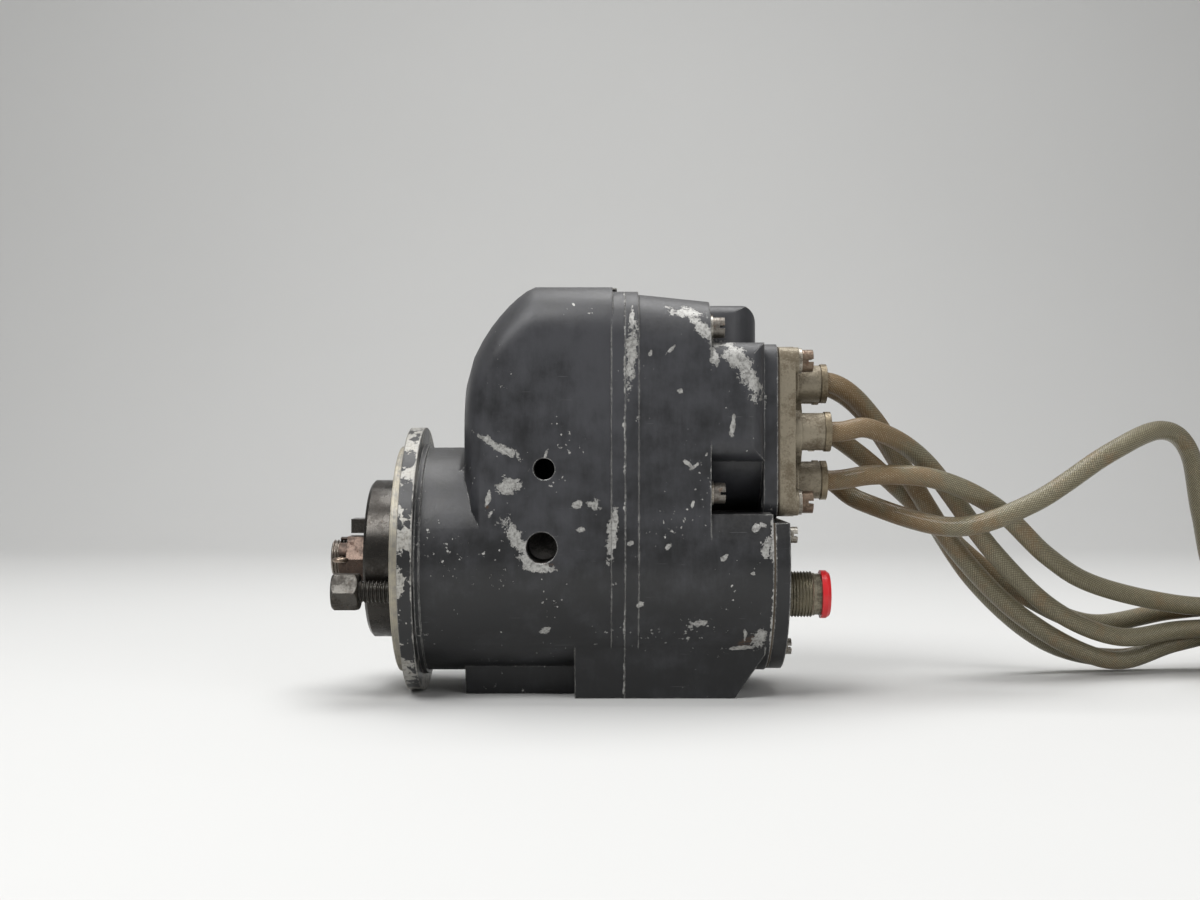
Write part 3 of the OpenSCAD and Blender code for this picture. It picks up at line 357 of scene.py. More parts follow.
@dataclass(frozen=True)
class ScuffedPaint:
    """Old satin black paint over a light casting, chipped to the metal at edges and in patches."""

    name: str
    patches: tuple[ChipPatch, ...]
    stains: tuple[ChipPatch, ...]
    paint: Colour = (0.0100, 0.0103, 0.0113)
    # lighter blue-grey of rubbed paint, also used as painted top light higher up
    rubbed: Colour = (0.046, 0.0470, 0.0530)
    dust: Colour = (0.060, 0.058, 0.054)
    metal: Colour = (0.50, 0.495, 0.475)
    dull_metal: Colour = (0.24, 0.236, 0.225)
    hairline: Colour = (0.115, 0.116, 0.120)
    straw: Colour = (0.44, 0.40, 0.315)
    rust: Colour = (0.072, 0.036, 0.017)
    near_y: float = -14.0
    rim_x: float = 6.2
    rim_r: float = 49.0
    rim_edge: float = 55.3
    seam_x: float = 90.2
    rear_x: float = 150.2

    def patch_mask(self, spot: PaintSpot, patches: Iterable[ChipPatch]) -> Sock:
        """Mask listed patches.

        Args:
            spot: The spot to colour.
            patches: The patches.

        Returns:
            1 inside a patch on the near side, with a frayed outline.
        """
        nearest = functools.reduce(Sock.at_most, [patch.reach(spot.graph, spot.at) for patch in patches])
        fray = (spot.ragged - 0.5) * 3.4 + (spot.fine - 0.5) * 1.9
        inside = 1.0 - (nearest ** 0.5 + fray).rise(0.92, 1.0)
        return inside * (1.0 - spot.y.rise(self.near_y - 4.0, self.near_y))

    def specks(self, spot: PaintSpot) -> Sock:
        """Mask small nicks, which lie thicker low down and away from the near side.

        Args:
            spot: The spot to colour.

        Returns:
            1 inside a nick.
        """
        low = 1.0 - spot.z.rise(-10.0, 70.0)
        cluster = spot.graph.noise(spot.at, 0.055, 2.0)
        often = low * 0.03 + (spot.broad - 0.5) * 0.10 + (cluster - 0.5) * 0.36
        often = often + spot.y.rise(self.near_y, -self.near_y) * 0.018
        nicks = spot.graph.noise(spot.at, 0.48, 3.0, 0.5)
        pitted = nicks * 0.62 + spot.fine * 0.23 + spot.graph.noise(spot.at, 2.4, 3.0) * 0.15
        return (pitted + often).rise(0.690, 0.702)

    def worn_edges(self, spot: PaintSpot) -> Sock:
        """Mask the edges and seams that are rubbed bare.

        Args:
            spot: The spot to colour.

        Returns:
            1 where an edge or seam is bare.
        """
        rear = spot.x.rise(self.rear_x - 4.0, self.rear_x - 2.0)
        edges = spot.graph.edge(spot.soft) * (2.2 + rear * 1.6)
        worn = (edges + (spot.ragged - 0.5) * 1.5 + (spot.fine - 0.5) * 0.5).rise(0.34, 0.40)
        frayed = (spot.flakes - 0.52) * 6.0 + (spot.fine - 0.5) * 1.6
        seam = frayed - abs(spot.x - self.seam_x)
        barrel = frayed * 1.3 + 0.5 - abs(spot.x - self.rear_x) - spot.z.rise(18.0, 21.0) * 9.0
        return worn.at_least(seam.rise(0.0, 0.25)).at_least(barrel.rise(0.0, 0.25))

    def rim(self, spot: PaintSpot) -> Sock:
        """Mask of the flange's rim."""
        front = 1.0 - spot.x.rise(self.rim_x, self.rim_x + 0.6)
        return front * spot.radius.rise(self.rim_r, self.rim_r + 0.5)

    def bare_rim(self, spot: PaintSpot) -> Sock:
        """Mask the flakes that are gone from the flange's rim.

        Args:
            spot: The spot to colour.

        Returns:
            1 where the rim is bare.
        """
        edge = spot.x.rise(self.rim_x - 0.9, self.rim_x - 0.7)
        edge = edge * spot.radius.rise(self.rim_edge, self.rim_edge + 0.2)
        return self.rim(spot) * (spot.flakes * 0.85 + spot.fine * 0.15 + edge * 0.06).rise(0.505, 0.525)

    def painted(self, spot: PaintSpot, rub_and_top_light: Sock, settled: Sock) -> Sock:
        """Colour the paint.

        Args:
            spot: The spot to colour.
            rub_and_top_light: How far the paint is rubbed, plus painted top light that lightens it higher up.
            settled: How much dust lies on it.

        Returns:
            The colour with its hairlines and rust stains.
        """
        graph = spot.graph
        hair = graph.noise(graph.vector("MULTIPLY", spot.at, (0.055, 0.6, 1.5)), 1.0, 2.0)
        stains = self.patch_mask(spot, self.stains) * spot.fine.rise(0.36, 0.58)
        colour = graph.blend(settled, graph.blend(rub_and_top_light, self.paint, self.rubbed), self.dust)
        # The colour with its hairlines, rust stains and painted top light.
        colour = graph.blend(hair.rise(0.740, 0.765) * 0.5, colour, self.hairline)
        return graph.blend(stains * 0.8, colour, self.rust)

    def bare_metal(self, spot: PaintSpot, machined: Sock) -> Sock:
        """Colour the metal under the paint.

        Args:
            spot: The spot to colour.
            machined: How far it shows lathe marks.

        Returns:
            The colour.
        """
        graph = spot.graph
        tint = graph.blend(spot.fine.rise(0.32, 0.62), self.dull_metal, self.metal)
        lathe = graph.noise(graph.joined(spot.x * 2.5, spot.radius * 2.5), 1.0, 3.0)
        marks = (lathe * 0.6 + spot.ragged * 0.4).rise(0.40, 0.62)
        return graph.blend(machined, tint, graph.blend(marks, self.straw, self.dull_metal))

    def build(self) -> bpy.types.Material:
        """Make the material.

        Returns:
            The new material.
        """
        material, graph = new_material(self.name)
        spot = PaintSpot(graph)
        chips = self.patch_mask(spot, self.patches).at_least(self.specks(spot))
        chips = chips.at_least(self.worn_edges(spot)).at_least(self.bare_rim(spot))
        machined = 1.0 - spot.x.rise(0.1, 0.35)
        bare = chips.at_least(machined)
        scratch = graph.noise(graph.vector("MULTIPLY", spot.at, (0.5, 0.5, 0.09)), 1.0, 5.0, 0.7)
        # painted top light: the paint is mixed further towards the lighter rubbed colour the higher it lies
        high = spot.z.rise(-30.0, 110.0)
        rub_and_top_light = spot.broad * 0.45 + spot.flakes * 0.40 + scratch * 0.15 + high * 0.22 - 0.09
        rub_and_top_light = rub_and_top_light.rise(0.36, 0.68)
        settled = graph.facing_up() * (0.35 + 0.65 * spot.fine.rise(0.35, 0.62)) * 0.6
        metal = self.bare_metal(spot, machined.at_least(self.rim(spot) * 0.3))
        height = spot.fine * 0.035 + graph.noise(spot.at, 0.12, 2.0) * 0.16 - chips * 0.09
        graph.surface(
            base_color=graph.blend(bare, self.painted(spot, rub_and_top_light, settled), metal),
            roughness=0.31 + rub_and_top_light * 0.12 + settled * 0.25 + bare * (spot.fine - 0.24) * 0.5,
            metallic=bare * 0.82,
            normal=graph.bump(height, spot.soft))
        return material


@dataclass(frozen=True)
class WornMetal:
    """Metal with the marks of its making, cloudy grime, rubbed edges and stains."""

    name: str
    colour: Colour
    grime: Colour
    roughness: float
    grain: Grain = Grain.TURNED
    metallic: float = 0.9
    stain: Colour = (0.10, 0.05, 0.025)
    stained: float = 0.0
    bright: float = 1.5
    edge_radius: float = 0.35

    def marks(self, graph: Graph, at: Sock) -> Sock:
        """Draw the marks of the grain.

        Args:
            graph: The material's graph.
            at: Place in millimetres.

        Returns:
            Their height in millimetres.
        """
        x, y, z = graph.parts(at)
        match self.grain:
            case Grain.TURNED:
                radius = (y * y + z * z) ** 0.5
                return graph.noise(graph.joined(x * 3.0, radius * 3.0), 1.0, 3.0) * 0.05
            case Grain.CAST:
                return graph.noise(at, 1.1, 5.0, 0.6) * 0.16 + graph.noise(at, 0.25, 2.0) * 0.15
            case Grain.ROLLED:
                return graph.noise(graph.vector("MULTIPLY", at, (0.06, 2.2, 2.2)), 1.0, 4.0) * 0.03
            case Grain.LAMINATED:
                return (x * 9.0).sine() * 0.03 + graph.noise(at, 0.9) * 0.02

    def build(self) -> bpy.types.Material:
        """Make the material.

        Returns:
            The new material.
        """
        material, graph = new_material(self.name)
        at = graph.place()
        cloud = graph.noise(at, 0.11, 5.0, 0.62)
        fine = graph.noise(at, 1.3, 4.0, 0.6)
        soft = graph.soft_normal(self.edge_radius)
        rubbed = (graph.edge(soft) * 3.0 + (fine - 0.5) * 0.8).rise(0.25, 0.6)
        dirty = (cloud * 0.65 + fine * 0.35).rise(0.44, 0.62)
        lit = tuple(min(1.0, part * self.bright) for part in self.colour)
        metal = graph.blend(rubbed, graph.blend(dirty, self.colour, self.grime), lit)
        rust = graph.noise(at, 0.4, 5.0, 0.66).rise(0.60 - 0.30 * self.stained, 0.72 - 0.2 * self.stained)
        rust = rust * min(1.0, self.stained * 4.0)
        graph.surface(
            base_color=graph.blend(rust, metal, self.stain),
            roughness=self.roughness + (cloud - 0.5) * 0.35 + dirty * 0.12 - rubbed * 0.08 + rust * 0.25,
            metallic=self.metallic * (1.0 - rust * 0.75) * (1.0 - dirty * 0.25),
            normal=graph.bump(self.marks(graph, at) + rust * 0.04, soft))
        return material


@dataclass(frozen=True)
class Moulded:
    """Plastic, rubber, fibre or paper with a faint mottle, scuffs and settled grime."""

    name: str
    colour: Colour
    shade: Colour
    roughness: float
    mottle: float = 0.35
    grit: float = 0.03
    gloss: float = 0.0
    edge_radius: float = 0.4

    def build(self) -> bpy.types.Material:
        """Make the material.

        Returns:
            The new material.
        """
        material, graph = new_material(self.name)
        at = graph.place()
        cloud = graph.noise(at, self.mottle, 5.0, 0.6)
        fine = graph.noise(at, 2.2, 3.0)
        soft = graph.soft_normal(self.edge_radius)
        scuff = (graph.edge(soft) * 2.5 + (fine - 0.5) * 0.7).rise(0.3, 0.7)
        pale = tuple(part * 0.75 + 0.09 for part in self.colour)
        body = graph.blend((cloud * 0.7 + fine * 0.3).rise(0.38, 0.66), self.colour, self.shade)
        graph.surface(
            base_color=graph.blend(scuff * 0.6, body, pale),
            roughness=self.roughness + (cloud - 0.5) * 0.25 + scuff * 0.1,
            coat_weight=self.gloss,
            normal=graph.bump(fine * self.grit + cloud * self.grit, soft))
        return material


@dataclass(frozen=True)
class WoundTape:
    """Varnished tape wound round the coil in overlapping turns."""

    name: str
    colour: Colour = (0.23, 0.12, 0.04)
    seam: Colour = (0.07, 0.035, 0.015)
    pitch: float = 4.0

    def build(self) -> bpy.types.Material:
        """Make the material.

        Returns:
            The new material.
        """
        material, graph = new_material(self.name)
        at = graph.place()
        _, y, _ = graph.parts(at)
        turn = (y * (1.0 / self.pitch) + graph.noise(at, 0.1) * 0.3).fraction()
        lap = turn.rise(0.0, 0.12)
        cloud = graph.noise(at, 0.3)
        graph.surface(
            base_color=graph.blend(lap * (0.6 + 0.6 * cloud), self.seam, self.colour),
            roughness=0.32 + cloud * 0.25,
            coat_weight=0.3,
            normal=graph.bump(lap * 0.15 + turn * 0.1, graph.soft_normal(0.4)))
        return material


@dataclass(frozen=True)
class WovenBraid:
    """Metal braid with a dulled lacquer, woven in crossing bands round the lead."""

    name: str
    strand: Colour = (0.295, 0.265, 0.168)
    # painted shade in the hollows between the strands of the weave
    hollow_shade: Colour = (0.062, 0.050, 0.028)
    stain: Colour = (0.185, 0.112, 0.047)
    pale: Colour = (0.56, 0.53, 0.40)
    clean_x: tuple[float, float] = (165.0, 265.0)
    bands: float = 26.0
    pitch: float = 6.3
    wires: float = 5.0

    def build(self) -> bpy.types.Material:
        """Make the material, where U runs along the lead in diameters and V once round it.

        Returns:
            The new material.
        """
        material, graph = new_material(self.name)
        u, v, _ = graph.parts(graph.node("ShaderNodeTexCoord", out="UV"))
        along = u * self.pitch
        round_it = v * self.bands
        right = ((along + round_it) * math.pi).sine()
        left = ((along - round_it) * math.pi).sine()
        weave = right * left
        crown = (1.0 - abs(right) ** 2.0).at_least(0.0) * 0.5
        crown = crown + (1.0 - abs(left) ** 2.0).at_least(0.0) * 0.5
        over = weave.rise(-0.1, 0.1)
        wire = ((along + round_it) * (self.wires * math.pi)).sine() * over
        wire = wire + ((along - round_it) * (self.wires * math.pi)).sine() * (1.0 - over)
        at = graph.place()
        patchy = graph.noise(at, 0.05, 4.0, 0.6)
        fine = graph.noise(at, 0.9, 4.0, 0.6)
        raised = (abs(weave) * 0.55 + wire * 0.12 + fine * 0.35).rise(0.05, 0.75)
        # painted shade: the hollows of the weave are darkened to the hollow colour, and the raised strands
        # keep the strand colour
        body = graph.blend(raised, self.hollow_shade, self.strand)
        x, _, _ = graph.parts(at)
        soiled = (1.0 - x.rise(*self.clean_x)) * 0.19 - 0.05
        dirty = (patchy * 0.75 + fine * 0.25 + soiled).rise(0.44, 0.62) * 0.8
        worn = (fine * 0.5 + abs(weave) * 0.35 + (patchy - 0.5) * 0.3).rise(0.52, 0.68) * 0.55
        shown = graph.blend(worn, graph.blend(dirty, body, self.stain), self.pale)
        geometry = graph.node("ShaderNodeNewGeometry", out="Normal")
        graph.surface(
            base_color=shown,
            roughness=0.37 + dirty * 0.2 + (fine - 0.5) * 0.2,
            metallic=0.25,
            coat_weight=0.2,
            normal=graph.bump(abs(weave) * 0.16 + crown * 0.03 + wire * 0.012, geometry))
        return material


Finish = ScuffedPaint | WornMetal | Moulded | WoundTape | WovenBraid


@functools.cache
def material_of(finish: Finish) -> bpy.types.Material:
    """Material of a finish, built once."""
    return finish.build()


def coat(pieces: Iterable[bpy.types.Object], finish: Finish) -> None:
    """Give pieces a finish.

    Args:
        pieces: The objects to coat.
        finish: The finish that they take.
    """
    material = material_of(finish)
    for piece in pieces:
        if not piece.material_slots:
            piece.data.materials.append(material)
        for material_slot in piece.material_slots:
            material_slot.material = material


def smooth_faces(limit: float) -> bpy.types.NodeTree:
    """Make a modifier tree that shades neighbouring facets as one smooth face.

    Args:
        limit: Angle in degrees above which an edge stays sharp.

    Returns:
        The geometry node tree.
    """
    tree = bpy.data.node_groups.new("smooth_faces", "GeometryNodeTree")
    tree.interface.new_socket("Geometry", in_out="INPUT", socket_type="NodeSocketGeometry")
    tree.interface.new_socket("Geometry", in_out="OUTPUT", socket_type="NodeSocketGeometry")
    graph = Graph(tree)
    whole = graph.node("NodeGroupInput")
    welded = graph.node("GeometryNodeMergeByDistance", inputs={"Geometry": whole, "Distance": WELD * MM})
    bend = graph.node("GeometryNodeInputMeshEdgeAngle")
    sharp = bend.maths("GREATER_THAN", bend, math.radians(limit))
    inputs = {"Mesh": welded, "Remove Custom": True, "Edge Sharpness": sharp}
    smooth = graph.node("GeometryNodeSetMeshNormal", {"mode": "SHARPNESS"}, inputs)
    graph.end("NodeGroupOutput", smooth, "Geometry")
    return tree


def dress(finish: Finish, *nodes: str) -> None:
    """Give parts of the frame a finish and report each one.

    Args:
        finish: The finish that they take.
        nodes: The names of the parts.
    """
    coat([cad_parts[name] for name in nodes], finish)
    for name in nodes:
        log.info("dressed %s in %s", name, finish.name)


class MeshMaker:
    """Meshes made of rings of points."""

    @staticmethod
    def from_rings(name: str, rings: Sequence[Sequence[Vector]], runs: Sequence[float],
                   closed_ends: bool = True) -> bpy.types.Object:
        """Skin a row of rings.

        Args:
            name: The name of the piece.
            rings: Rings with the same number of points.
            runs: The U of each ring.
            closed_ends: Whether the first and last ring are capped.

        Returns:
            The new object, smooth, with U along the rings and V round them.
        """
        sides = len(rings[0])
        points = [point for ring in rings for point in ring]
        faces = []
        for i in range(len(rings) - 1):
            for k in range(sides):
                a = i * sides + k
                b = i * sides + (k + 1) % sides
                faces.append((a, b, b + sides, a + sides))
        quads = len(faces)
        if closed_ends:
            last = (len(rings) - 1) * sides
            faces.append(tuple(range(sides - 1, -1, -1)))
            faces.append(tuple(range(last, last + sides)))
        mesh = bpy.data.meshes.new(name)
        mesh.from_pydata(points, [], faces)
        chart = mesh.uv_layers.new(name="along")
        for number, polygon in enumerate(mesh.polygons):
            polygon.use_smooth = number < quads
            for corner, loop in enumerate(polygon.loop_indices):
                i, k = divmod(number, sides) if number < quads else (0, corner)
                ahead = corner in (2, 3) and number < quads
                beside = corner in (1, 2) and number < quads
                chart.data[loop].uv = (runs[min(i + ahead, len(runs) - 1)], (k + beside) / sides)
        piece = bpy.data.objects.new(name, mesh)
        bpy.context.scene.collection.objects.link(piece)
        return piece

    @classmethod
    def tube(cls, name: str, path: Sequence[Vector], radius: float, sides: int) -> bpy.types.Object:
        """Round tube along a path, with its rings turned as little as possible.

        Args:
            name: The name of the piece.
            path: Points of the centre line.
            radius: Radius of the tube.
            sides: Points round it.

        Returns:
            The new object, with U in diameters.
        """
        heading = (path[1] - path[0]).normalized()
        side = heading.orthogonal().normalized()
        angles = [2.0 * math.pi * k / sides for k in range(sides)]
        rings, runs, run = [], [], 0.0
        for i, point in enumerate(path):
            ahead = path[min(i + 1, len(path) - 1)] - path[max(i - 1, 0)]
            turn = heading.rotation_difference(ahead.normalized())
            heading = ahead.normalized()
            side = (turn @ side).normalized()
            up = heading.cross(side)
            rings.append([point + radius * (math.cos(a) * side + math.sin(a) * up) for a in angles])
            run += (point - path[i - 1]).length / (2.0 * radius) if i else 0.0
            runs.append(run)
        return cls.from_rings(name, rings, runs)

    @classmethod
    def turned(cls, name: str, place: Matrix, profile: Sequence[tuple[float, float]], sides: int,
               shape: Callable[[float, float], float] | None = None) -> bpy.types.Object:
        """Turned piece along X.

        Args:
            name: The name of the piece.
            place: Frame of the piece.
            profile: Points as (distance along X, radius).
            sides: Points round it.
            shape: Radius from an angle and a profile radius, for pieces with flats.

        Returns:
            The new object.
        """
        rings = []
        for x, radius in profile:
            ring = []
            for k in range(sides):
                angle = 2.0 * math.pi * k / sides
                reach = shape(angle, radius) if shape else radius
                ring.append(place @ Vector((x, reach * math.cos(angle), reach * math.sin(angle))))
            rings.append(ring)
        return cls.from_rings(name, rings, [x / MM for x, _ in profile])


def smooth_path(points: Sequence[Vector], step: float) -> list[Vector]:
    """Even points on the round curve through some points.

    Args:
        points: Points that the curve passes.
        step: Distance between the new points.

    Returns:
        The new points, with both ends kept.
    """
    dense = []
    for i in range(len(points) - 1):
        before, start = points[max(i - 1, 0)], points[i]
        end, after = points[i + 1], points[min(i + 2, len(points) - 1)]
        for k in range(CURVE_PARTS):
            t = k / CURVE_PARTS
            dense.append(0.5 * (2.0 * start + (end - before) * t
                                + (2.0 * before - 5.0 * start + 4.0 * end - after) * t * t
                                + (3.0 * start - before - 3.0 * end + after) * t ** 3))
    dense.append(points[-1])
    total = path_length(dense)
    count = max(2, round(total / step))
    even, run, target = [dense[0]], 0.0, total / count
    for a, b in zip(dense, dense[1:]):
        length = (b - a).length
        while run + length >= target * len(even) and len(even) < count:
            even.append(a.lerp(b, (target * len(even) - run) / length))
        run += length
    even.append(dense[-1])
    return even


def path_length(points: Sequence[Vector]) -> float:
    """Length of a line through points."""
    return sum((b - a).length for a, b in zip(points, points[1:]))


@dataclass(frozen=True)
class LeadRoute:
    """One lead: its tower, its place in the coil and the given points on its way, in millimetres."""

    number: int
    tower: int
    column: int
    layer: int
    leaves_at: float
    points: tuple[Point, ...]


ROUTES = (
    LeadRoute(1, 2, 1, 0, 6.0, (
        (198, 1, 60), (216, 12, 34), (240, 20, 0), (272, 28, -30), (312, 38, -49), (345, 45, -42))),
    LeadRoute(2, 1, 2, 0, 60.0, (
        (200, 22, 60), (224, 33, 26), (252, 42, -14), (286, 49, -42), (322, 53, -50), (354, 58, -42))),
    LeadRoute(3, 3, 0, 0, -12.0, (
        (194, -20, 55), (220, -2, 41), (252, 10, 2), (283, 24, -25), (315, 34, -38), (346, 40, -35.5))),
    LeadRoute(4, 0, 2, 1, 42.0, (
        (194, 24, 46), (218, 24, 25), (246, 30, -1), (270, 36, -18), (305, 45, -33), (346, 55, -28.5))),
    LeadRoute(5, 4, 0, 1, -30.0, (
        (197, -15, 36), (222, -15, 34), (249, -6, 22), (276, 11, 0), (302, 26, -14), (345, 39, -24))),
    LeadRoute(6, 5, 1, 1, 24.0, (
        (194, 5, 24), (229, -13, 14), (261, -18, 24), (298, -4, 45), (325, 10, 55), (342, 22, 46),
        (352, 34, 18), (364, 46, -12))),
)


@dataclass
class LeadHarness:
    """Six braided leads from the towers to a tied coil, each with its own end fitting.

    Sizes are in millimetres and angles in degrees. Both shapes are rows of (distance, step from the
    lead's radius), outwards for the ferrule and inwards for the sleeve's grooves.
    """

    # Leads and their towers
    lead_d: float = 8.4
    lead_sides: int = 20
    path_step: float = 2.4
    start_x: float = 155.6
    ferrule_end_x: float = 175.6
    straight_end_x: float = 179.1
    circle_r: float = 23.5
    circle_z: float = 54.0
    tower_step: float = 60.0

    # Coil on the floor
    floor_z: float = -56.0
    coil_x: float = 411.0
    coil_y: float = 4.0
    coil_r: float = 40.0
    run_in: float = 25.0
    pitch: float = 8.6
    lift: float = 0.1
    stacked: int = 2
    enters_at: float = 90.0
    sink_from: float = 95.0
    sink_to: float = 200.0
    coil_step: float = 15.0

    # Ends of the leads
    tail_r: float = 63.9
    tail_l: float = 17.0
    tail_turn: float = -45.0
    nut_af: float = 17.5
    nut_corner: float = 0.577
    nut_l: float = 13.0
    nut_back: float = 2.0
    nut_chamfer: float = 1.2
    nut_mouth: float = 6.0
    nut_sides: int = 48
    ring_sides: int = 28
    ferrule_back: float = 8.0
    ferrule_shape: tuple[tuple[float, float], ...] = (
        (0.0, 0.1), (0.0, 0.9), (0.7, 1.4), (3.0, 1.4), (3.4, 1.1), (4.2, 1.1), (4.6, 1.5), (14.0, 1.5),
        (14.0, 0.1))
    sleeve_l: float = 26.0
    sleeve_bore: float = 1.6
    grooves: int = 4
    groove_x: float = 13.5
    groove_step: float = 2.4
    groove_shape: tuple[tuple[float, float], ...] = ((0.0, 0.1), (0.4, 0.5), (1.0, 0.5), (1.4, 0.1))
    contact_l: float = 15.0
    spring_r: float = 1.47
    spring_turns: int = 7
    spring_steps: int = 98
    wire_r: float = 0.35
    wire_sides: int = 8

    # Ties round the coil
    tie_angles: tuple[float, ...] = (90.0, 200.0, 300.0)
    tie_w: float = 5.0
    tie_t: float = 1.2
    tie_slack: float = 0.05
    tie_lift: float = 0.02
    tie_steps: int = 6

    # Finishes
    braid: WovenBraid = WovenBraid("lead_braid")
    steel: WornMetal = WornMetal("end_nut_plating", (0.46, 0.45, 0.42), (0.16, 0.14, 0.11), 0.34,
                                 bright=1.4)
    brass: WornMetal = WornMetal("end_brass", (0.55, 0.38, 0.14), (0.20, 0.12, 0.05), 0.33)
    sleeve: Moulded = Moulded("end_sleeve_ceramic", (0.66, 0.60, 0.49), (0.48, 0.41, 0.30), 0.35,
                              gloss=0.3)
    strap: Moulded = Moulded("coil_strap_nylon", (0.018, 0.018, 0.02), (0.035, 0.034, 0.033), 0.45)

    def tail_frame(self, route: LeadRoute) -> Matrix:
        """Place the end of a lead.

        Args:
            route: The lead.

        Returns:
            Frame of its end with X along the lead, in metres.
        """
        centre = Vector((self.coil_x, self.coil_y, self.floor_z + self.nut_af / 2)) * MM
        around = Matrix.Rotation(math.radians(route.leaves_at), 4, "Z")
        turned = Matrix.Rotation(math.radians(self.tail_turn), 4, "Z")
        outward = Matrix.Translation((self.tail_r * MM, 0, 0))
        return Matrix.Translation(centre) @ around @ outward @ turned

    def coil_points(self, route: LeadRoute) -> list[Vector]:
        """Wind a lead: it comes in on top, sinks to the floor and leaves under its own first turn.

        Args:
            route: The lead.

        Returns:
            Points from its straight run in to where it leaves the turn for its end, in millimetres.
        """
        reach = self.coil_r + route.column * self.pitch
        low = self.floor_z + self.lead_d / 2 + self.lift + route.layer * self.pitch
        drop = self.stacked * self.pitch
        straight = math.degrees(math.acos(reach / self.tail_r))
        sweep = 360.0 + self.enters_at - route.leaves_at - straight
        points = [Vector((self.coil_x - self.run_in, self.coil_y + reach, low + drop))]
        steps = math.ceil(sweep / self.coil_step)
        for k in range(steps + 1):
            passed = sweep * k / steps
            share = (passed - self.sink_from) / (self.sink_to - self.sink_from)
            share = min(1.0, max(0.0, share))
            level = low + drop * (1.0 - share * share * (3.0 - 2.0 * share))
            angle = math.radians(self.enters_at - passed)
            x = self.coil_x + reach * math.cos(angle)
            points.append(Vector((x, self.coil_y + reach * math.sin(angle), level)))
        return points

    def centre_line(self, route: LeadRoute) -> list[Vector]:
        """Lay a whole lead from inside its tower to inside its end fitting.

        Args:
            route: The lead.

        Returns:
            Even points of its middle, in metres.
        """
        angle = math.radians(self.tower_step * route.tower)
        y = self.circle_r * math.cos(angle)
        z = self.circle_z + self.circle_r * math.sin(angle)
        points = [Vector((self.start_x, y, z)), Vector((self.straight_end_x, y, z))]
        points += [Vector(point) for point in route.points]
        points += self.coil_points(route)
        points = [point * MM for point in points]
        tail = self.tail_frame(route)
        corner = tail.translation
        out = tail @ Vector((self.tail_l * MM, 0, 0))
        points += [0.25 * points[-1] + 0.5 * corner + 0.25 * out, out]
        return smooth_path(points, self.path_step * MM)

    def hexagon(self, angle: float, limit: float) -> float:
        """Outline of the coupling nut.

        Args:
            angle: Angle round the nut, in radians.
            limit: Radius of the chamfer that cuts the corners, in metres.

        Returns:
            Radius of the outline at the angle, in metres.
        """
        flat = self.nut_af * MM / 2.0
        return min(limit, flat / math.cos((angle % (math.pi / 3.0)) - math.pi / 6.0))

    def nut_profile(self) -> list[tuple[float, float]]:
        """Half section of the coupling nut.

        Returns:
            Points as (distance along the tail, radius), in millimetres.
        """
        corner = self.nut_af * self.nut_corner
        rim = self.nut_af / 2.0 - 0.2
        bore = self.lead_d / 2.0 + 1.7
        start = self.tail_l - self.nut_back
        end = start + self.nut_l
        return [(start, bore), (start, rim), (start + self.nut_chamfer, corner),
                (end - self.nut_chamfer, corner), (end, rim), (end, bore + 0.5), (end - self.nut_mouth, bore)]

    def sleeve_profile(self) -> list[tuple[float, float]]:
        """Half section of the insulating sleeve with its grooves.

        Returns:
            Points as (distance along the tail, radius), in millimetres.
        """
        lead_r = self.lead_d / 2.0
        start = self.tail_l + 0.1
        end = start + self.sleeve_l
        profile = [(start, self.sleeve_bore), (start, lead_r - 0.1)]
        for ring in range(self.grooves):
            groove = start + self.groove_x + self.groove_step * ring
            profile += [(groove + along, lead_r - depth) for along, depth in self.groove_shape]
        return [*profile, (end - 1.0, lead_r - 0.1), (end, lead_r - 0.9), (end, self.sleeve_bore)]

    def end_pieces(self, route: LeadRoute) -> list[bpy.types.Object]:
        """Make the coupling nut, ferrule, sleeve and spring contact of one lead end.

        Args:
            route: The lead.

        Returns:
            The four pieces.
        """
        place = self.tail_frame(route)
        start = self.tail_l - self.ferrule_back
        ferrule = [(start + along, self.lead_d / 2.0 + over) for along, over in self.ferrule_shape]
        name = f"lead_{route.number}_end"
        turned = (
            ("nut", self.nut_profile(), self.nut_sides, self.hexagon, self.steel, "plug_steel"),
            ("ferrule", ferrule, self.ring_sides, None, self.brass, "contact_brass"),
            ("sleeve", self.sleeve_profile(), self.ring_sides, None, self.sleeve, "plug_sleeve"),
        )
        pieces = []
        for part, profile, sides, shape, finish, slot in turned:
            metres = [(x * MM, radius * MM) for x, radius in profile]
            piece = MeshMaker.turned(f"{name}_{part}", place, metres, sides, shape)
            self.settle(piece, finish, slot, f"plug_{part}s")
            pieces.append(piece)
        wire = self.spring_line(place)
        spring = MeshMaker.tube(f"{name}_contact", wire, self.wire_r * MM, self.wire_sides)
        self.settle(spring, self.brass, "contact_brass", "plug_contacts")
        return [*pieces, spring]

    def spring_line(self, place: Matrix) -> list[Vector]:
        """Wind the wire of the spring contact.

        Args:
            place: Frame of the lead's end.

        Returns:
            Points of the wire, in metres.
        """
        coil_r = self.spring_r - self.wire_r
        start = self.tail_l + self.sleeve_l - self.contact_l + 3.0
        line = []
        for k in range(self.spring_steps + 1):
            share = k / self.spring_steps
            angle = 2.0 * math.pi * self.spring_turns * share
            x = start + (self.contact_l - 0.5) * share
            line.append(place @ (Vector((x, coil_r * math.cos(angle), coil_r * math.sin(angle))) * MM))
        return line

    @staticmethod
    def settle(piece: bpy.types.Object, finish: Finish, slot: str, *nodes: str) -> None:
        """Coat a new piece, set it on the housing and hide the parts of the frame that it stands for.

        Args:
            piece: The piece.
            finish: The finish that it takes.
            slot: Not used.
            nodes: The parts of the frame that it stands for.
        """
        coat([piece], finish)
        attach(piece, "housing")
        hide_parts(*nodes)
        log.info("made %s", piece.name)

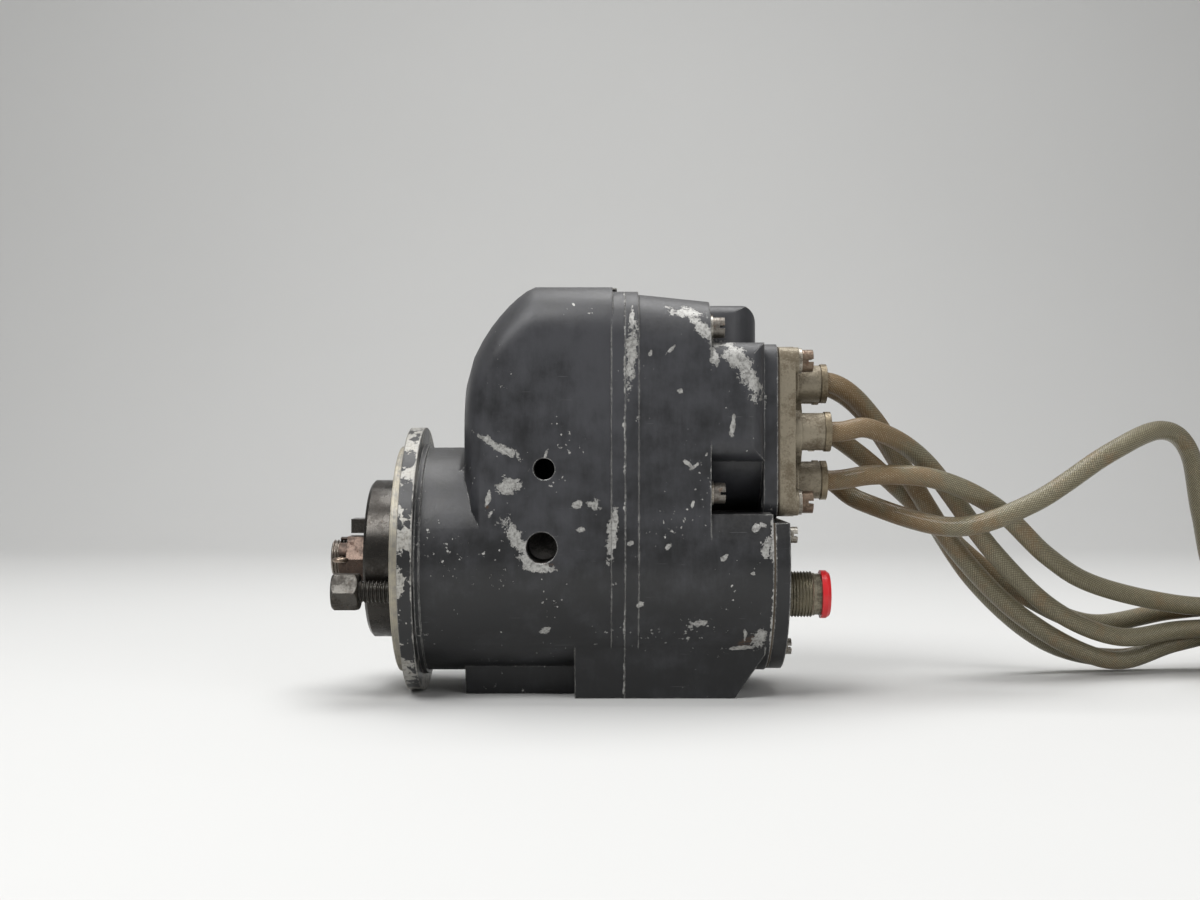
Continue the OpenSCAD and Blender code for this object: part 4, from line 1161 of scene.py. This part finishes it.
    def crossings(self, path: Sequence[Vector], out: Vector) -> list[tuple[float, float]]:
        """Where a lead passes through the upright plane of a tie.

        Args:
            path: The lead's centre line, in metres.
            out: Direction of the tie from the middle of the coil.

        Returns:
            Distance from the middle and height of each pass, in millimetres.
        """
        centre = Vector((self.coil_x, self.coil_y, 0.0))
        across = Vector((-out.y, out.x, 0.0))
        spots = []
        for a, b in zip(path, path[1:]):
            start, end = a / MM - centre, b / MM - centre
            before, after = start.dot(across), end.dot(across)
            if before * after <= 0.0 and before != after:
                spot = start.lerp(end, before / (before - after))
                if 0.0 < spot.dot(out) < self.tail_r:
                    spots.append((spot.dot(out), spot.z))
        return spots

    def tie(self, angle: float, paths: Sequence[Sequence[Vector]]) -> bpy.types.Object:
        """Strap that is pulled tight round the leads where they cross one angle of the coil.

        Args:
            angle: Angle round the coil, in degrees.
            paths: The centre lines of all leads, in metres.

        Returns:
            The strap.
        """
        out = Vector((math.cos(math.radians(angle)), math.sin(math.radians(angle)), 0.0))
        across = Vector((-out.y, out.x, 0.0))
        spots = [spot for path in paths for spot in self.crossings(path, out)]
        near, far = min(r for r, _ in spots), max(r for r, _ in spots)
        low, high = min(z for _, z in spots), max(z for _, z in spots)
        inner = self.lead_d / 2.0 + self.tie_slack
        section = ((inner, -1), (inner + self.tie_t, -1), (inner + self.tie_t, 1), (inner, 1))
        rings = []
        for quarter, (r, z) in enumerate(((far, high), (near, high), (near, low), (far, low))):
            for k in range(self.tie_steps + 1):
                turn = math.radians(90.0 * (quarter + k / self.tie_steps))
                ring = []
                for reach, side in section:
                    height = max(z + reach * math.sin(turn), self.floor_z + self.tie_lift)
                    spot = out * (r + reach * math.cos(turn)) + across * (side * self.tie_w / 2.0)
                    ring.append((Vector((self.coil_x, self.coil_y, height)) + spot) * MM)
                rings.append(ring)
        rings.append(rings[0])
        name = f"coil_tie_{angle:.0f}"
        strap = MeshMaker.from_rings(name, rings, range(len(rings)), closed_ends=False)
        for polygon in strap.data.polygons:
            polygon.use_smooth = False
        self.settle(strap, self.strap, "tie_plastic", "harness_ties")
        return strap

    def build(self) -> None:
        paths = [self.centre_line(route) for route in ROUTES]
        ties = [self.tie(angle, paths) for angle in self.tie_angles]
        for route, path in zip(ROUTES, paths):
            name = f"lead_{route.number}"
            lead = MeshMaker.tube(f"braided_{name}", path, self.lead_d / 2 * MM, self.lead_sides)
            self.settle(lead, self.braid, "braid", name, "harness_coil", "lead_tails")
            ends = self.end_pieces(route) + (ties if route is ROUTES[0] else [])
            path_length(path)
            log.info("lead %d is %.3f m long", route.number, path_length(path))


@dataclass
class Castings:
    """The two painted housings, the breaker cover, the bare plate on the crown and the case screws."""

    patches: tuple[ChipPatch, ...] = patch_table((
        (40.9, 47.2, 9.0, 1.5, -28.0), (43.7, 32.4, 4.6, 3.0, 20.0), (35.6, 27.0, 3.4, 0.9, 78.0),
        (36.5, 20.5, 1.8, 0.8, 60.0), (47.4, 10.0, 9.0, 3.0, -60.0), (56.0, -0.6, 7.0, 1.6, -8.0),
        (50.3, 2.6, 4.0, 2.2, -45.0), (58.6, 44.2, 2.2, 0.6, 70.0), (71.4, 24.6, 2.0, 1.4, 15.0),
        (78.0, 24.4, 2.4, 2.8, 60.0), (72.4, 14.5, 1.8, 1.0, 0.0), (93.6, 88.5, 4.0, 1.8, 75.0),
        (96.4, -15.5, 1.7, 1.0, 30.0), (116.0, 101.8, 8.5, 2.0, -9.0), (138.7, 78.3, 13.5, 3.6, -62.0),
        (134.6, 83.6, 6.0, 3.4, -20.0), (133.5, 56.4, 4.0, 0.9, 84.0), (149.6, 10.4, 9.0, 1.1, 88.0),
        (120.3, -23.5, 4.0, 1.3, 12.0), (58.4, -26.3, 2.4, 1.0, 30.0), (108.0, 8.0, 1.8, 0.9, 45.0),
        (145.4, -30.6, 4.7, 2.6, 90.0), (136.3, -34.5, 5.8, 0.8, 3.0), (139.2, -28.4, 2.4, 0.6, 90.0),
        (143.2, 15.2, 1.8, 1.3, 60.0), (145.7, 16.6, 1.6, 1.0, -20.0), (147.6, 9.0, 2.5, 1.6, 75.0),
        (146.5, 5.4, 2.2, 1.4, 80.0), (129.4, 2.9, 1.8, 1.0, 40.0), (141.4, -3.0, 1.2, 0.7),
        (93.0, 84.3, 12.4, 2.2, 87.0), (93.2, 100.5, 3.5, 0.9, 85.0), (122.5, 94.5, 8.0, 3.0, -50.0),
        (126.0, 84.0, 4.2, 1.8, -75.0), (108.8, 86.7, 2.4, 0.7, 45.0), (100.6, 85.3, 1.9, 0.8, 70.0),
        (112.5, 70.1, 1.3, 1.2), (115.8, 40.8, 2.2, 0.7, -35.0), (119.0, 40.4, 2.4, 0.9, 35.0),
        (117.5, 24.4, 1.5, 0.9, 75.0), (123.0, 44.4, 0.9, 0.5, 60.0), (85.4, 13.6, 9.8, 1.9, 84.0),
        (92.6, 9.2, 1.3, 0.9, 30.0),
    ))
    stains: tuple[ChipPatch, ...] = patch_table((
        (35.3, 23.6, 1.0, 0.8, 0.0), (56.4, 0.4, 5.0, 1.6, -6.0), (54.6, 5.2, 2.6, 1.2, 50.0),
        (127.2, 98.4, 2.4, 6.0, 0.0), (84.6, 12.0, 1.0, 6.0, 0.0), (141.0, -31.0, 5.0, 1.4, 20.0),
    ))
    plate: WornMetal = WornMetal("crown_plate_metal", (0.36, 0.355, 0.335), (0.255, 0.245, 0.22), 0.42,
                                 Grain.ROLLED)
    screw: WornMetal = WornMetal("case_screw_steel", (0.20, 0.185, 0.165), (0.075, 0.062, 0.05), 0.34,
                                 stain=(0.11, 0.060, 0.032), stained=0.16, bright=1.9)
    washer: WornMetal = WornMetal("washer_steel", (0.42, 0.40, 0.36), (0.15, 0.125, 0.095), 0.40)
    paper: Moulded = Moulded("gasket_paper", (0.105, 0.082, 0.058), (0.055, 0.042, 0.030), 0.85,
                             grit=0.06)
    sharp_angle: float = 32.0

    def build(self) -> None:
        """Dress the castings and what is screwed to them."""
        paint = ScuffedPaint("chipped_black_paint", self.patches, self.stains)
        dress(paint, "drive_end_housing", "distributor_housing", "breaker_cover")
        tree = smooth_faces(self.sharp_angle)
        for name in ("drive_end_housing", "distributor_housing"):
            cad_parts[name].modifiers.new("smooth_faces", "NODES").node_group = tree
        dress(self.plate, "data_plate")
        dress(self.screw, "case_screws")
        dress(self.washer, "case_washers", "breaker_cover_screws")
        dress(self.paper, "outlet_gasket", "breaker_cover_gasket")


@dataclass(frozen=True)
class Assembly:
    """Parts of the frame that belong together, by the finish that they take."""

    title: str
    finishes: tuple[tuple[Finish, tuple[str, ...]], ...]

    def build(self) -> None:
        """Dress the parts."""
        for finish, nodes in self.finishes:
            dress(finish, *nodes)
        log.info("%s is dressed", self.title)


OUTLET_END = Assembly("outlet end", (
    (WornMetal("outlet_bronze_casting", (0.268, 0.234, 0.174), (0.140, 0.113, 0.075), 0.46, Grain.CAST,
               0.55, stain=(0.085, 0.064, 0.038), stained=0.07, edge_radius=0.9), ("outlet_plate",)),
    (WornMetal("outlet_screw_steel", (0.20, 0.150, 0.110), (0.085, 0.058, 0.04), 0.38,
               stain=(0.12, 0.060, 0.032), stained=0.22, bright=1.8), ("outlet_screws",)),
    (WornMetal("outlet_washer_steel", (0.40, 0.37, 0.32), (0.14, 0.12, 0.09), 0.40), ("outlet_washers",)),
    (WornMetal("lead_ferrule_metal", (0.235, 0.196, 0.135), (0.125, 0.097, 0.060), 0.42,
               stain=(0.11, 0.075, 0.038), stained=0.1, bright=1.2), ("lead_ferrules",)),
))
DRIVE_END = Assembly("drive end", (
    (WornMetal("oiled_coupling_steel", (0.060, 0.056, 0.051), (0.026, 0.022, 0.018), 0.27,
               bright=2.4, stain=(0.05, 0.03, 0.018), stained=0.08), ("drive_coupling",)),
    (WornMetal("blackened_bolt_steel", (0.078, 0.074, 0.067), (0.034, 0.030, 0.025), 0.32,
               bright=2.3, stain=(0.08, 0.05, 0.028), stained=0.10), ("stop_bolt",)),
    (WornMetal("browned_nut_plating", (0.078, 0.056, 0.045), (0.034, 0.023, 0.018), 0.30,
               bright=2.2, stain=(0.088, 0.042, 0.022), stained=0.2), ("castle_nut", "drive_washer")),
    (WornMetal("ground_shaft_steel", (0.27, 0.24, 0.21), (0.11, 0.085, 0.065), 0.30),
     ("rotor_shaft", "drive_key")),
    (WornMetal("cotter_wire", (0.30, 0.235, 0.185), (0.12, 0.085, 0.06), 0.36, stained=0.2),
     ("cotter_pin",)),
    (Moulded("oil_seal_rubber", (0.020, 0.019, 0.018), (0.040, 0.037, 0.033), 0.5), ("oil_seal",)),
))
BREAKER_END = Assembly("breaker end", (
    (WornMetal("receptacle_plating", (0.29, 0.265, 0.20), (0.095, 0.084, 0.06), 0.36,
               stain=(0.11, 0.085, 0.045), stained=0.15), ("primary_receptacle",)),
    (Moulded("red_cap_plastic", (0.64, 0.012, 0.018), (0.50, 0.008, 0.013), 0.36, 0.08, 0.015, 0.12),
     ("dust_cap",)),
    (WornMetal("breaker_base_metal", (0.50, 0.49, 0.46), (0.24, 0.22, 0.19), 0.40, Grain.ROLLED),
     ("breaker_plate", "bearing_plate")),
    (WornMetal("contact_brass", (0.56, 0.40, 0.16), (0.25, 0.16, 0.07), 0.34),
     ("breaker_arm", "fixed_contact", "electrodes")),
    (WornMetal("breaker_screw_steel", (0.46, 0.44, 0.41), (0.20, 0.18, 0.15), 0.36),
     ("breaker_plate_screws", "bearing_plate_screws", "cam_screw", "breaker_pivot", "cam")),
    (WornMetal("capacitor_can", (0.56, 0.55, 0.52), (0.30, 0.28, 0.25), 0.32), ("capacitor",)),
))
INNARDS = Assembly("inside", (
    (WornMetal("bearing_steel", (0.56, 0.55, 0.53), (0.30, 0.28, 0.26), 0.22),
     ("bearing_outer_races", "bearing_inner_races", "bearing_balls", "pinion_gear", "distributor_shaft")),
    (WornMetal("stacked_iron", (0.20, 0.19, 0.18), (0.08, 0.075, 0.07), 0.45, Grain.LAMINATED),
     ("pole_shoes", "coil_core")),
    (WornMetal("magnet_alloy", (0.24, 0.23, 0.22), (0.10, 0.095, 0.09), 0.38, Grain.CAST),
     ("rotor_magnet",)),
    (WoundTape("winding_tape"), ("coil_winding",)),
    (Moulded("distributor_resin", (0.16, 0.035, 0.022), (0.09, 0.020, 0.014), 0.36, gloss=0.2),
     ("distributor_block", "rotor_finger")),
    (Moulded("gear_fibre", (0.21, 0.125, 0.055), (0.12, 0.066, 0.03), 0.55, 0.9), ("distributor_gear",)),
))


@dataclass(frozen=True)
class SoftLight:
    """A square area light. Millimetres and watts."""

    name: str
    place: Point
    aim: Point
    size: float
    watts: float

    def build(self) -> None:
        """Hang the light."""
        data = bpy.data.lights.new(self.name, "AREA")
        data.shape = "SQUARE"
        data.size = self.size * MM
        data.energy = self.watts
        lamp = bpy.data.objects.new(self.name, data)
        lamp.location = Vector(self.place) * MM
        heading = Vector(self.aim) - Vector(self.place)
        lamp.rotation_euler = heading.to_track_quat("-Z", "Y").to_euler()
        bpy.context.scene.collection.objects.link(lamp)


@dataclass
class Studio:
    """Pale sweep, soft lights and the camera of the photograph. Millimetres."""

    floor_z: float = -56.0
    half_width: float = 6000.0
    front_y: float = -6000.0
    bend_y: float = 900.0
    bend_r: float = 500.0
    bend_steps: int = 12
    wall_top: float = 2400.0
    eye: Point = (80.4, -660.0, 46.4)
    lens: float = 46.04
    sensor: float = 36.0
    sweep_colour: Colour = (0.66, 0.66, 0.65)
    sweep_shade: float = 0.97
    world_level: float = 0.24
    lights: tuple[SoftLight, ...] = (
        SoftLight("key_light", (-450.0, -750.0, 1150.0), (80.0, 0.0, 20.0), 700.0, 14.0),
        SoftLight("fill_light", (1000.0, -900.0, 500.0), (120.0, 0.0, 20.0), 900.0, 4.0),
        SoftLight("top_light", (150.0, 250.0, 1200.0), (120.0, 50.0, 0.0), 800.0, 12.0),
    )

    def sweep(self) -> None:
        """Make the floor and the backdrop as one sheet with a round bend."""
        line = [(self.front_y, self.floor_z), (self.bend_y, self.floor_z)]
        for k in range(1, self.bend_steps + 1):
            angle = math.radians(90.0 * k / self.bend_steps)
            line.append((self.bend_y + self.bend_r * math.sin(angle),
                         self.floor_z + self.bend_r * (1.0 - math.cos(angle))))
        line.append((self.bend_y + self.bend_r, self.wall_top))
        points = [Vector((side * self.half_width, y, z)) * MM for y, z in line for side in (-1, 1)]
        faces = [(2 * k, 2 * k + 1, 2 * k + 3, 2 * k + 2) for k in range(len(line) - 1)]
        mesh = bpy.data.meshes.new("studio_sweep")
        mesh.from_pydata(points, [], faces)
        for polygon in mesh.polygons:
            polygon.use_smooth = True
        sheet = bpy.data.objects.new("studio_sweep", mesh)
        bpy.context.scene.collection.objects.link(sheet)
        material, graph = new_material("studio_paper")
        cloud = graph.noise(graph.place(), 0.004, 3.0)
        darker = tuple(self.sweep_shade * part for part in self.sweep_colour)
        graph.surface(base_color=graph.blend(cloud, self.sweep_colour, darker), roughness=0.9)
        mesh.materials.append(material)

    def world(self) -> None:
        """Light the room evenly."""
        world = bpy.data.worlds.new("studio_world")
        world.use_nodes = True
        graph = Graph(world.node_tree)
        inputs = {"Color": (1.0, 1.0, 1.0, 1.0), "Strength": self.world_level}
        graph.end("ShaderNodeOutputWorld", graph.node("ShaderNodeBackground", inputs=inputs))
        bpy.context.scene.world = world

    def camera(self) -> None:
        """Set the camera where the photograph was taken from."""
        data = bpy.data.cameras.new("photo_camera")
        data.lens = self.lens
        data.sensor_width = self.sensor
        camera = bpy.data.objects.new("photo_camera", data)
        camera.location = Vector(self.eye) * MM
        camera.rotation_euler = (math.radians(90.0), 0.0, 0.0)
        bpy.context.scene.collection.objects.link(camera)
        bpy.context.scene.camera = camera

    def build(self) -> None:
        """Set up the studio."""
        self.sweep()
        self.world()
        for light in self.lights:
            light.build()
        self.camera()
        bpy.context.scene.view_settings.view_transform = "Standard"
        log.info("studio is set")


def main() -> None:
    """Build the sub-assemblies in order."""
    logging.basicConfig(level=logging.INFO, format="%(name)s: %(message)s")
    for assembly in (Studio(), LeadHarness(), Castings(), OUTLET_END, DRIVE_END, BREAKER_END, INNARDS):
        assembly.build()


if __name__ == "__main__":
    main()
